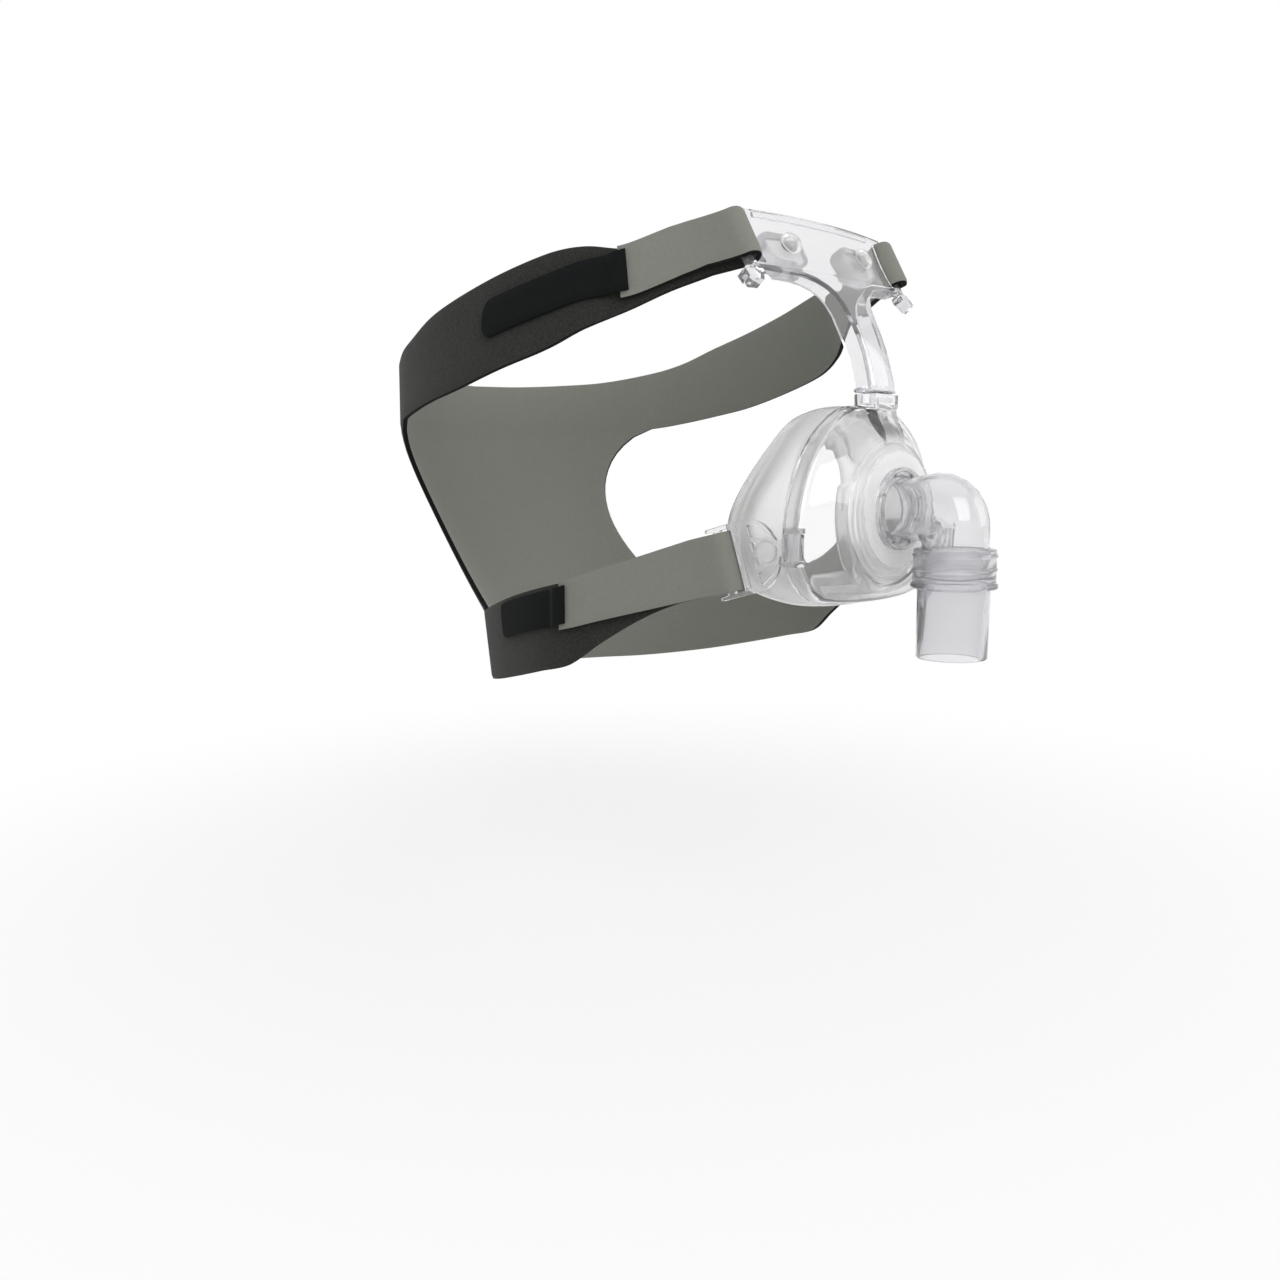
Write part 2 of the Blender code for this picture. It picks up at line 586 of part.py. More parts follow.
def cushion_section(rim, face, angle):
    """Section of the cushion: tongue inside the skirt, wall, rolled edge, membrane and support lip."""
    back = rim_back(rim, angle)
    front = rim_front(rim, angle)
    tongue = min(0.0036, back - front - SHELL_WALL - 0.0012)
    depth = face_depth(face, angle)
    slot = rim - SHELL_WALL - GAP
    wall = CUSHION_WALL
    skin = MEMBRANE
    outer = [(slot - 0.0006, back - tongue), (slot - 0.0001, back + GAP), (rim - 0.0007, back + GAP),
             (rim - 0.0003, back + GAP + 0.0012)]
    for share in (0.35, 0.7):
        bulge = WALL_BULGE * 4 * share * (1 - share)
        outer.append((mix(rim - 0.0003, face, share) + bulge, mix(back + 0.0015, depth - 0.0035, share)))
    outer += [(face, depth - 0.0032), (face - 0.0009, depth - 0.0010), (face - 0.0028, depth),
              (face - 0.0060, depth - 0.0006), (face - MEMBRANE_REACH, depth - 0.0034)]
    inner = [(face - MEMBRANE_REACH - 0.0001, depth - 0.0034 - skin), (face - 0.0060, depth - 0.0006 - skin),
             (face - 0.0031, depth - skin - 0.0002), (face - wall - 0.0006, depth - 0.0026),
             (face - wall - 0.0004, depth - 0.0052), (face - 0.0040, depth - 0.0044),
             (face - SUPPORT_REACH, depth - 0.0056), (face - SUPPORT_REACH, depth - 0.0068),
             (face - 0.0042, depth - 0.0062), (face - wall - 0.0008, depth - 0.0080)]
    for share in (0.6, 0.25):
        within = WALL_BULGE * 4 * share * (1 - share) - wall - 0.0006
        inner.append((mix(rim - 0.0003, face, share) + within, mix(back + 0.0015, depth - 0.0035, share)))
    inner += [(slot - wall - 0.0006, back + GAP), (slot - wall - 0.0002, back - tongue)]
    return outer + inner


def build_cushion():
    """Silicone cushion, pushed into the skirt of the shell."""
    sections = [cushion_section(r, f, a) for r, f, a in zip(RIM, FACE, ANGLES)]
    rings = []
    for k in range(len(sections[0])):
        rings.append([(s[k][0] * cos(a), s[k][1], s[k][0] * sin(a)) for s, a in zip(sections, ANGLES)])
    return solid("cushion", *loft(rings, tube=True), SILICONE)


# Forehead support and pads

SPINE = smooth_path(ARM_SPINE, 8)
STRAP_BAR_Z = (CROSSBAR_BOTTOM + CROSSBAR_TOP) / 2


def spine_y(z):
    """Depth of the front face of the forehead support at the mid plane."""
    return float(np.interp(z, [p[0] for p in SPINE], [p[1] for p in SPINE]))


def lean(z):
    """Lean of the support's sections from upright, in radians; the foot is cut level."""
    above_foot = min(1.0, max(0.0, (z - ARM_FOOT_Z) / 0.006))
    return above_foot * atan2(spine_y(z + 0.001) - spine_y(z - 0.001), 0.002)


def bow(x):
    """How far the crossbar's ends curve back."""
    return CROSSBAR_BOW * (x / CROSSBAR_HALF) ** 2


def front_point(x, z, depth=0.0):
    """A point on the support, depth behind its front face."""
    tilt = lean(z)
    return (x, spine_y(z) + bow(x) + depth * cos(tilt), z - depth * sin(tilt))


def tongue_mid_y():
    """Middle of the tongue that plugs into the shell's socket."""
    return spine_y(ARM_FOOT_Z) + 0.0004 + TONGUE_DEPTH / 2 + 0.0010


def support_rows():
    """Half widths, heights and rim depths of the support's outline, from the foot to the top."""
    bottom = CROSSBAR_BOTTOM
    half = ARM_HALF_WIDTH
    flare = [(half, ARM_FOOT_Z, ARM_DEPTH), (half - 0.0001, 0.0430, ARM_DEPTH),
             (half - 0.0003, 0.0500, ARM_DEPTH), (half - 0.0003, 0.0560, ARM_DEPTH),
             (half - 0.0001, 0.0605, ARM_DEPTH), (half + 0.0006, bottom - 0.0088, 0.0064),
             (half + 0.0020, bottom - 0.0060, 0.0060), (half + 0.0044, bottom - 0.0035, 0.0054),
             (half + 0.0078, bottom - 0.0016, 0.0048), (half + 0.0125, bottom - 0.0004, 0.0044)]
    slot_in = CROSSBAR_HALF - STRAP_BAR_WIDTH - STRAP_SLOT_WIDTH
    rim = CROSSBAR_RIM_DEPTH
    flare += [(half + 0.0180, bottom, rim), (slot_in - 0.0035, bottom + 0.0002, rim),
              (slot_in, bottom + 0.0003, ARM_WALL + 0.0001),
              (CROSSBAR_HALF - 0.0012, bottom + 0.0006, ARM_WALL + 0.0001),
              (CROSSBAR_HALF, bottom + 0.0022, ARM_WALL + 0.0001)]
    top = CROSSBAR_TOP
    for share in (0.2, 0.4, 0.6, 0.8):
        flare.append((CROSSBAR_HALF, mix(bottom + 0.0022, top - 0.0022, share), ARM_WALL + 0.0001))
    flare += [(CROSSBAR_HALF, top - 0.0022, ARM_WALL + 0.0001),
              (CROSSBAR_HALF - 0.0010, top - 0.0006, ARM_WALL + 0.0001)]
    return flare


def build_support():
    """T-shaped support: front plate with a rim all round, strap slots, ears and peg holes."""
    lanes = np.linspace(-1.0, 1.0, 9)
    rows = support_rows()
    rings = []
    foot_y = tongue_mid_y()
    for half, depth, z in ((TONGUE_HALF_WIDTH, TONGUE_DEPTH, ARM_FOOT_Z - TONGUE_LENGTH),
                           (TONGUE_HALF_WIDTH, TONGUE_DEPTH, ARM_FOOT_Z - 0.0004)):
        plug_front = [(lane * half, foot_y - depth / 2, z) for lane in lanes]
        plug_back = [(lane * half, foot_y + depth / 2, z) for lane in lanes[::-1]]
        side = [(half, foot_y + depth / 6, z), (half, foot_y + depth / 3, z)]
        other = [(-x, y, zz) for x, y, zz in side[::-1]]
        rings.append(plug_front + side + plug_back + other)

    def row_ring(half, z, rim, floor, floor_half, floor_z):
        crown = [CROSSBAR_CROWN * (1 - lane * lane) * max(0.0, (z - PEG_Z) / (CROSSBAR_TOP - PEG_Z))
                 for lane in lanes]
        front = [front_point(lane * half, z + up) for lane, up in zip(lanes, crown)]
        right = [front_point(half, z, rim), front_point(floor_half, floor_z, rim)]
        inside = [front_point(lane * floor_half, floor_z + up, floor)
                  for lane, up in zip(lanes[::-1], crown[::-1])]
        left = [front_point(-floor_half, floor_z, rim), front_point(-half, z, rim)]
        return front + right + inside + left

    half, z, rim = rows[0]
    rings.append(row_ring(half, z, rim, rim - 0.0001, half - ARM_WALL, z))
    rings.append(row_ring(half, z + ARM_WALL, rim, rim - 0.0001, half - ARM_WALL, z + ARM_WALL))
    for k, (half, z, rim) in enumerate(rows):
        before = rows[max(k - 1, 0)]
        after = rows[min(k + 1, len(rows) - 1)]
        du, dz = after[0] - before[0], after[1] - before[1]
        size = hypot(du, dz)
        inward = (-dz / size * ARM_WALL, du / size * ARM_WALL)
        floor_z = z + inward[1]
        if k == 0:
            z += ARM_WALL + 0.0001
            floor_z = z
        rings.append(row_ring(half, z, rim, min(ARM_WALL, rim - 0.0001), half + inward[0], floor_z))
    half, z, rim = rows[-1]
    top = CROSSBAR_TOP
    brow = CROSSBAR_RIM_DEPTH * 0.7
    rings.append(row_ring(half - 0.0004, top - 0.0005, ARM_WALL, ARM_WALL, half - 0.0006, top - 0.0005))
    rings.append(row_ring(half - 0.0012, top, ARM_WALL, ARM_WALL, half - 0.0014, top))
    support = solid("forehead_support", *loft(rings), CLEAR)

    ridge_half = CROSSBAR_HALF - STRAP_BAR_WIDTH - STRAP_SLOT_WIDTH - 0.004
    ridge = []
    for lane in lanes:
        x = lane * ridge_half
        up = CROSSBAR_CROWN * (1 - (x / CROSSBAR_HALF) ** 2)
        ridge.append([front_point(x, top + up - 0.0002, 0.0006), front_point(x, top + up - 0.0002, brow),
                      front_point(x, top + up - 0.0018, brow), front_point(x, top + up - 0.0018, 0.0006)])
    cut(support, solid("top_ridge", *loft(ridge), None), "UNION")

    slot_mid = CROSSBAR_HALF - STRAP_BAR_WIDTH - STRAP_SLOT_WIDTH / 2
    tilt = lean(STRAP_BAR_Z)
    for side in (-1, 1):
        outline = rounded_rectangle(STRAP_SLOT_WIDTH / 2, UPPER_STRAP_WIDTH / 2 + STRAP_SLOT_PLAY, 0.0006, 3)
        slot = prism("slot_cutter", outline, lambda u, v, w, s=side: tilted(
            s * slot_mid + u, v, w, STRAP_BAR_Z, tilt), -0.004, 0.008)
        cut(support, slot)
        ear = prism("ear", ear_outline(), lambda u, v, w, s=side: tilted(
            s * u, v, w, CROSSBAR_BOTTOM + 0.0010, lean(CROSSBAR_BOTTOM + 0.0010)),
            *CROSSBAR_EAR_DEPTHS)
        cut(support, ear, "UNION")
        hole = [[tilted(side * PEG_X + (PEG_RADIUS + GAP) * cos(a), (PEG_RADIUS + GAP) * sin(a), w,
                        PEG_Z, lean(PEG_Z)) for a in np.linspace(0, 2 * pi, 24, endpoint=False)]
                for w in (-0.004, 0.006)]
        cut(support, solid("peg_hole_cutter", *loft(hole), None))
    return support


def ear_outline():
    """Block at the crossbar's lower corner that keeps the strap from riding down."""
    root = CROSSBAR_HALF - 0.0030
    tip = CROSSBAR_HALF + CROSSBAR_EAR
    low = -CROSSBAR_EAR_DROP
    return [(root - 0.0012, low * 0.3), (root + 0.0012, low), (tip - 0.0012, low), (tip, low + 0.0012),
            (tip, -0.0012), (tip - 0.0008, -0.0004), (root + 0.0020, 0.0006), (root, 0.0006)]


def tilted(x, v, w, z, tilt):
    """A point of the leaning crossbar: v up its face and w behind it, about the height z."""
    return (x, spine_y(z) + bow(x) + v * sin(tilt) + w * cos(tilt), z + v * cos(tilt) - w * sin(tilt))


def build_pad(name, side):
    """Silicone pad with a button that goes through the crossbar."""
    steps = 4
    tilt = lean(PEG_Z)

    def ring(shape, w):
        return [tilted(side * PEG_X + u, v, w, PEG_Z, tilt) for u, v in shape]

    def circle(radius):
        return [(radius * cos(a), radius * sin(a)) for a in
                [pi / 2 * q + pi / 2 * (k / (steps - 1)) * 0.98 + 0.01 for q in range(4) for k in range(steps)]]

    def slab(grow):
        return rounded_rectangle(PAD_HALF_WIDTH + grow, PAD_HALF_HEIGHT + grow, PAD_CORNER + grow, steps)

    behind = ARM_WALL + GAP
    head = -GAP
    rings = [ring(circle(PEG_HEAD_RADIUS * 0.45), head - PEG_HEAD_HEIGHT),
             ring(circle(PEG_HEAD_RADIUS * 0.85), head - PEG_HEAD_HEIGHT * 0.8),
             ring(circle(PEG_HEAD_RADIUS), head - PEG_HEAD_HEIGHT * 0.4),
             ring(circle(PEG_HEAD_RADIUS), head), ring(circle(PEG_RADIUS), head),
             ring(circle(PEG_RADIUS), behind), ring(slab(-0.0012), behind), ring(slab(-0.0002), behind + 0.0008),
             ring(slab(0.0), behind + PAD_THICKNESS - 0.0018), ring(slab(-0.0008), behind + PAD_THICKNESS - 0.0004),
             ring(slab(-0.0024), behind + PAD_THICKNESS)]
    return solid(name, *loft(rings), SILICONE)


# Strap clips

def clip_place(side):
    """Map from the clip's own plane to the world: u along the strap, v up, w outwards."""
    ahead = Vector((-sin(CLIP_HEADING), cos(CLIP_HEADING), 0.0))
    along = Vector((ahead.x * cos(CLIP_SLOPE), ahead.y * cos(CLIP_SLOPE), -sin(CLIP_SLOPE)))
    up = Vector((ahead.x * sin(CLIP_SLOPE), ahead.y * sin(CLIP_SLOPE), cos(CLIP_SLOPE)))
    out = Vector((-cos(CLIP_HEADING), -sin(CLIP_HEADING), 0.0))
    pin = Vector((-PIN_X, PIN_Y, PIN_MID_Z + 0.0010))

    def place(u, v, w):
        p = pin + along * u + up * v + out * w
        return (p.x * -side, p.y, p.z)
    return place


def clip_outline():
    """The clip's outline: a D that narrows to the hook, with two ears beside the strap."""
    half = LOWER_STRAP_WIDTH / 2 + STRAP_SIDE_PLAY
    edge = half + CLIP_RIB
    bar_end = CLIP_SLOT_AT + CLIP_SLOT_WIDTH + CLIP_BAR_WIDTH
    tip = bar_end + CLIP_EAR_LENGTH
    upper = [(0.0, 0.0022), (CLIP_SHOULDER_AT - 0.0006, 0.0026)]
    for a in np.linspace(pi, pi / 2, 9)[1:]:
        upper.append((CLIP_ARC_AT + (CLIP_ARC_AT - CLIP_SHOULDER_AT) * cos(a), 0.0028 + (edge - 0.0028) * sin(a)))
    upper += [(tip - 0.0006, edge), (tip, edge - 0.0004), (tip, half + 0.0003), (bar_end, half), (bar_end, 0.0)]
    lower = [(u, -v) for u, v in upper[-2::-1]]
    return upper + lower


def clip_windows():
    """Openings between the clip's ribs, upper half; the lower half mirrors them."""
    half = LOWER_STRAP_WIDTH / 2 + STRAP_SIDE_PLAY
    bar = CLIP_ARC_AT - CLIP_RIB
    leaf = [(CLIP_BOSS_AT - 0.0024, 0.0044), (CLIP_BOSS_AT + 0.0002, 0.0074), (bar - 0.0008, half - 0.0006),
            (bar, half - 0.0012), (bar, half - 0.0040), (CLIP_BOSS_AT + 0.0022, 0.0046)]
    rib = [(CLIP_BOSS_AT + 0.0032, 0.0032), (bar, 0.0046), (bar, 0.0007), (CLIP_BOSS_AT + 0.0041, 0.0007)]
    return leaf, rib


def build_clip(name, side):
    """Clip with a snap-on barrel for the lug's pin, a boss, ribs and the strap slot."""
    place = clip_place(side)
    hinge = (side * PIN_X, PIN_Y, PIN_MID_Z)
    thick = CLIP_THICKNESS / 2
    rings = [[place(u, v, w) for u, v in clip_outline()] for w in (-thick, thick)]
    clip = solid(name, *loft(rings), CLEAR, hinge)
    barrel_out = PIN_RADIUS + SWIVEL_GAP + BARREL_WALL
    drum = turned([(barrel_out, -BARREL_HEIGHT / 2), (barrel_out, BARREL_HEIGHT / 2)], hinge, "z", 20)
    cut(clip, solid("barrel", *loft(drum), None), "UNION")
    boss = [[place(CLIP_BOSS_AT + r * cos(a), r * sin(a), w)
             for a in np.linspace(0, 2 * pi, 16, endpoint=False)]
            for r, w in ((CLIP_BOSS_RADIUS, -thick), (CLIP_BOSS_RADIUS, thick + 0.0003),
                         (CLIP_BOSS_RADIUS - 0.0006, thick + 0.0008))]
    cut(clip, solid("clip_boss", *loft(boss), None), "UNION")
    half = LOWER_STRAP_WIDTH / 2 + STRAP_SIDE_PLAY
    end = CLIP_SLOT_AT - 0.0004
    bead = rounded_rectangle(CLIP_BEAD_WIDTH / 2, half, 0.0006, 3)
    cut(clip, prism("cross_bead", bead, lambda u, v, w: place(end - CLIP_BEAD_WIDTH / 2 + u, v, w),
                    0.0, thick + CLIP_BEAD_HEIGHT), "UNION")
    bore = turned([(PIN_RADIUS + SWIVEL_GAP, -BARREL_HEIGHT), (PIN_RADIUS + SWIVEL_GAP, BARREL_HEIGHT)],
                  hinge, "z", 20)
    cut(clip, solid("pin_bore_cutter", *loft(bore), None))
    mouth = PIN_RADIUS * 0.8
    mouth_box = [(-0.0060, -mouth), (0.0, -mouth), (0.0, mouth), (-0.0060, mouth)]

    def level(u, v, w):
        a = CLIP_HEADING
        return (hinge[0] + side * (u * sin(a) + v * cos(a)), hinge[1] + u * cos(a) - v * sin(a), hinge[2] + w)
    cut(clip, prism("mouth_cutter", mouth_box, level, -BARREL_HEIGHT, BARREL_HEIGHT))
    slot = [(CLIP_SLOT_AT, -half), (CLIP_SLOT_AT + CLIP_SLOT_WIDTH, -half),
            (CLIP_SLOT_AT + CLIP_SLOT_WIDTH, half), (CLIP_SLOT_AT, half)]
    cut(clip, prism("clip_slot_cutter", slot, place, -0.004, 0.004))
    for window in clip_windows():
        for flip in (1, -1):
            shape = [(u, flip * v) for u, v in window]
            cut(clip, prism("window_cutter", shape, place, -0.004, 0.004))
    return clip


# Headgear

def head_point(degrees):
    """A point on the plan of the head at the middle of the laminate, wearer's right side."""
    t = radians(degrees)
    a = HEAD_HALF_WIDTH + LAMINATE / 2
    b = HEAD_HALF_LENGTH + LAMINATE / 2
    power = 2 / HEAD_ROUNDNESS
    x = -a * abs(cos(t)) ** power if degrees < 90 else 0.0
    y = HEAD_CENTRE_Y + b * np.sign(sin(t)) * abs(sin(t)) ** power
    return x, float(y)


class Band:
    """A strap's middle surface: stations with a centre, a width direction and a half width."""

    def __init__(self, stations):
        self.centre = [Vector(s[0]) for s in stations]
        self.up = [Vector(s[1]).normalized() for s in stations]
        self.half = [s[2] for s in stations]
        steps = [(b - a).length for a, b in zip(self.centre, self.centre[1:])]
        self.run = np.concatenate(([0.0], np.cumsum(steps)))
        self.length = float(self.run[-1])

    def at(self, s):
        """Centre, up, tangent, outward normal and half width at a distance along the band."""
        s = min(max(s, 0.0), self.length)
        i = int(min(np.searchsorted(self.run, s, side="right") - 1, len(self.centre) - 2))
        share = (s - self.run[i]) / (self.run[i + 1] - self.run[i])
        centre = self.centre[i].lerp(self.centre[i + 1], share)
        up = self.up[i].lerp(self.up[i + 1], share).normalized()
        tangent = self.centre[i + 1] - self.centre[i]
        before = self.centre[i] - self.centre[max(i - 1, 0)]
        after = self.centre[min(i + 2, len(self.centre) - 1)] - self.centre[i + 1]
        start = (before + tangent).normalized()
        end = (tangent + after).normalized()
        tangent = start.lerp(end, share).normalized()
        out = tangent.cross(up).normalized()
        return centre, up, tangent, out, mix(self.half[i], self.half[i + 1], share)


def upper_band():
    """Stations of the upper band from the middle of the back to the crossbar's strap bar."""
    tilt = lean(STRAP_BAR_Z)
    bar_x = CROSSBAR_HALF - STRAP_BAR_WIDTH / 2
    bar_y = spine_y(STRAP_BAR_Z) + bow(bar_x) + ARM_WALL / 2 * cos(tilt)
    half = UPPER_STRAP_WIDTH / 2
    rows = []
    for degrees, top, bottom in UPPER_BAND:
        x, y = head_point(degrees)
        inward = max(0.0, top - BAND_CURL_ABOVE) ** 2 / BAND_CURL_RADIUS
        rows.append((x, y, top, bottom, inward))
    bar = Vector((-bar_x, bar_y, STRAP_BAR_Z))
    last = Vector((rows[-1][0], rows[-1][1], (rows[-1][2] + rows[-1][3]) / 2))
    for share in (0.28, 0.52, 0.76):
        p = last.lerp(bar, share)
        grow = half + (rows[-1][2] - rows[-1][3] - 2 * half) / 2 * max(0.0, 1 - share / 0.5) ** 1.6
        mid = mix(last.z, bar.z, min(1.0, share * 1.12)) - BAND_SLACK * (1 - share)
        rows.append((p.x, p.y, mid + grow, mid - grow, 0.0010 * (1 - share)))
    stations = []
    for x, y, top, bottom, inward in smooth_path(rows, BAND_SPANS):
        side = Vector((x, (y - HEAD_CENTRE_Y) * HEAD_HALF_WIDTH / HEAD_HALF_LENGTH, 0.0)).normalized()
        up = Vector((-side.x * inward, -side.y * inward, top - bottom))
        stations.append([Vector((x, y, (top + bottom) / 2)), up, (top - bottom) / 2])
    up = Vector((0.0, sin(tilt), cos(tilt)))
    return stations, bar, up, half


def lower_band():
    """Stations of the lower band from the nape to the clip's strap bar."""
    place = clip_place(-1)
    bar = Vector(place(CLIP_SLOT_AT + CLIP_SLOT_WIDTH + CLIP_BAR_WIDTH / 2, 0.0, 0.0))
    up = Vector(place(0.0, 1.0, 0.0)) - Vector(place(0.0, 0.0, 0.0))
    half = LOWER_STRAP_WIDTH / 2
    neck = HEAD_HALF_WIDTH - NECK_INSET
    rows = [(-neck * share, y, top, bottom) for share, y, top, bottom in LOWER_BAND]
    x, y, top, bottom = rows[-1]
    tall = half / cos(CLIP_SLOPE)
    for share in (0.30, 0.55, 0.8):
        rows.append((mix(x, bar.x, share), mix(y, bar.y, share), mix(top, bar.z + tall, share),
                     mix(bottom, bar.z - tall, 1 - (1 - share) ** 1.7)))
    stations = []
    for x, y, top, bottom in smooth_path(rows, BAND_SPANS):
        side = Vector((x, y - HEAD_CENTRE_Y, 0.0)).normalized()
        out = NECK_LEAN * min(1.0, max(0.0, (y - NECK_LEAN_FROM_Y) / NECK_LEAN_OVER))
        stations.append([Vector((x, y, (top + bottom) / 2)), Vector((side.x * out, side.y * out, 1.0)),
                         (top - bottom) / 2])
    return stations, bar, up.normalized(), half


def end_half(half, along_top):
    """Half width of a folded strap's free end; a strap that lies along its band's top edge tapers."""
    return half * (1 - RETURN_TAPER) if along_top else half


def lift(wide, narrow, along_top):
    """How far a folded strap's middle lies above the middle of its band."""
    return wide - narrow + GAP if along_top else RETURN_RISE


def threaded(stations, bar, up, half, bar_half, back_run, along_top):
    """Ends a band at a strap bar: in towards the head, round the bar and back along the outside."""
    turn_radius = bar_half + GAP + LAMINATE / 2 + 0.0002
    count = len(stations)
    blend = [min(1.0, max(0.0, (k - (count - 13)) / 12)) for k in range(count)]
    for station, share in zip(stations, blend):
        station[1] = Vector(station[1]).normalized().lerp(up, share * share)
    ahead = (bar - stations[-1][0])
    ahead = (ahead - up * ahead.dot(up)).normalized()
    out = ahead.cross(up).normalized()
    shifted = []
    for station, share in zip(stations, blend):
        shifted.append((station[0] - out * turn_radius * share, station[1], station[2]))
    inner = Band(shifted + [(bar - out * turn_radius, up, half)])
    fold = []
    for a in np.linspace(0.0, pi, 7)[1:-1]:
        fold.append((bar - out * turn_radius * cos(a) + ahead * turn_radius * sin(a), up, half))
    rest_gap = LAMINATE + RETURN_GAP
    outer = []
    for k in range(9):
        run = back_run * k / 8
        centre, width, tangent, normal, wide = inner.at(inner.length - run)
        share = min(1.0, run / (back_run * 0.75))
        offset = mix(2 * turn_radius, rest_gap, share * (2 - share))
        narrow = mix(half, end_half(half, along_top), k / 8)
        rise = lift(wide, narrow, along_top) * min(1.0, run / 0.02)
        outer.append((centre + normal * offset + width * rise, width, narrow))
    return inner, fold, outer


def band_columns(station, columns=BAND_COLUMNS):
    """Points across the band at one station, from its bottom edge to its top edge."""
    centre, up, half = station
    return [centre + up * half * mix(-1.0, 1.0, k / (columns - 1)) for k in range(columns)]


def build_headgear():
    """Upper and lower bands, back panel and four folded straps, thickened from one surface."""
    upper = threaded(*upper_band(), bar_half=ARM_WALL, back_run=UPPER_RETURN, along_top=False)
    lower = threaded(*lower_band(), bar_half=CLIP_THICKNESS * 0.75, back_run=LOWER_RETURN, along_top=True)
    bm = bmesh.new()
    edges = []
    for inner, fold, outer in (upper, lower):
        stations = list(zip(inner.centre, inner.up, inner.half)) + fold + outer
        grid = [[bm.verts.new(p) for p in band_columns(s)] for s in stations]
        for left, right in zip(grid, grid[1:]):
            for j in range(BAND_COLUMNS - 1):
                bm.faces.new((left[j], left[j + 1], right[j + 1], right[j]))
        edges.append(grid)
    top_row = [edges[0][k][0] for k in range(PANEL_STATIONS)]
    bottom_row = [edges[1][k][-1] for k in range(PANEL_STATIONS)]
    rows = [top_row]
    for r in range(1, PANEL_ROWS):
        v = r / PANEL_ROWS
        row = []
        back = v ** 1.5
        for a, b in zip(top_row, bottom_row):
            waist = 1 - (1 - PANEL_WAIST) * sin(pi * v) ** 0.7
            x = mix(a.co.x, b.co.x, v) * waist
            depth_top = depth_at(edges[0], x, 0)
            depth_low = depth_at(edges[1], x, -1)
            z = mix(a.co.z, b.co.z, v)
            row.append(bm.verts.new((x, mix(depth_top, depth_low, back), z)))
        rows.append(row)
    rows.append(bottom_row)
    for high, low in zip(rows, rows[1:]):
        for k in range(PANEL_STATIONS - 1):
            bm.faces.new((high[k], high[k + 1], low[k + 1], low[k]))
    for v in bm.verts:
        if abs(v.co.x) < 1e-5:
            v.co.x = 0.0
    mirror_surface(bm)
    bmesh.ops.recalc_face_normals(bm, faces=bm.faces)
    mesh = bpy.data.meshes.new("headgear")
    bm.to_mesh(mesh)
    bm.free()
    mesh.shade_smooth()
    mesh.materials.append(FELT)
    gear = bpy.data.objects.new("headgear", mesh)
    bpy.context.collection.objects.link(gear)
    thick = gear.modifiers.new("laminate", "SOLIDIFY")
    thick.thickness = LAMINATE
    thick.offset = 0.0
    thick.use_even_offset = True
    return upper, lower


def depth_at(grid, x, column):
    """Depth of a band's edge where it crosses the plane at x, on its back half."""
    points = [(-line[column].co.x, line[column].co.y) for line in grid[:PANEL_STATIONS + 4]]
    return float(np.interp(-x, [p[0] for p in points], [p[1] for p in points]))


def mirror_surface(bm):
    """Adds the wearer's left half of the surface, welded along the middle."""
    twins = {}
    for vert in list(bm.verts):
        twins[vert] = vert if vert.co.x == 0.0 else bm.verts.new((-vert.co.x, vert.co.y, vert.co.z))
    for face in list(bm.faces):
        bm.faces.new([twins[v] for v in reversed(face.verts)])


def build_tab(name, side, parts, back_run, length, strap_half, corner, along_top):
    """Hook tape welded over the end of a folded strap and pressed on the loop cloth behind it."""
    inner = parts[0]
    on_strap = LAMINATE * 1.5 + RETURN_GAP + GAP + TAB_THICKNESS / 2
    on_band = LAMINATE / 2 + GAP + 0.0001 + TAB_THICKNESS / 2
    total = TAB_OVERLAP + length
    sections = []
    narrow = end_half(strap_half, along_top)
    runs = list(np.linspace(0.0, total - corner, TAB_STATIONS))
    for run in runs + [total - corner * 0.6, total - corner * 0.2, total]:
        place = inner.length - (back_run - TAB_OVERLAP) - run
        centre, up, tangent, normal, half = inner.at(place)
        step = min(1.0, max(0.0, (run - TAB_OVERLAP - 0.0006) / 0.0050))
        offset = mix(on_strap, on_band, step * step * (3 - 2 * step))
        end_on = max(0.0, 1 - (total - run) / corner)
        wide = TAB_WIDTH / 2 - corner * (1 - max(0.0, 1 - end_on ** 2) ** 0.5)
        middle = centre + normal * offset + up * lift(half, narrow, along_top)
        sections.append((middle, up, normal, wide))
    rings = []
    for middle, up, normal, wide in sections:
        ring = []
        for a, b in ((-1, -1), (1, -1), (1, 1), (-1, 1)):
            p = middle + up * wide * a + normal * TAB_THICKNESS / 2 * b
            ring.append((p.x * -side, p.y, p.z))
        rings.append(ring)
    return solid(name, *loft(rings), HOOK)


build_shell()
build_cushion()
build_elbow()
build_cuff()
build_support()
build_pad("right_forehead_pad", -1)
build_pad("left_forehead_pad", 1)
build_clip("right_strap_clip", -1)
build_clip("left_strap_clip", 1)
upper_parts, lower_parts = build_headgear()
for side_name, side_sign in (("right", -1), ("left", 1)):
    build_tab("upper_" + side_name + "_tab", side_sign, upper_parts, UPPER_RETURN, UPPER_TAB_LENGTH,
              UPPER_STRAP_WIDTH / 2, UPPER_TAB_CORNER, False)
    build_tab("lower_" + side_name + "_tab", side_sign, lower_parts, LOWER_RETURN, LOWER_TAB_LENGTH,
              LOWER_STRAP_WIDTH / 2, LOWER_TAB_CORNER, True)
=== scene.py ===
"""Looks of the nasal CPAP mask: clear plastic, silicone, foam laminate straps and hook tabs.

Metres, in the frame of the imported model: +Z up, the wearer faces -Y and their right side is at -X.
"""
from math import atan2, cos, hypot, pi, radians, sin

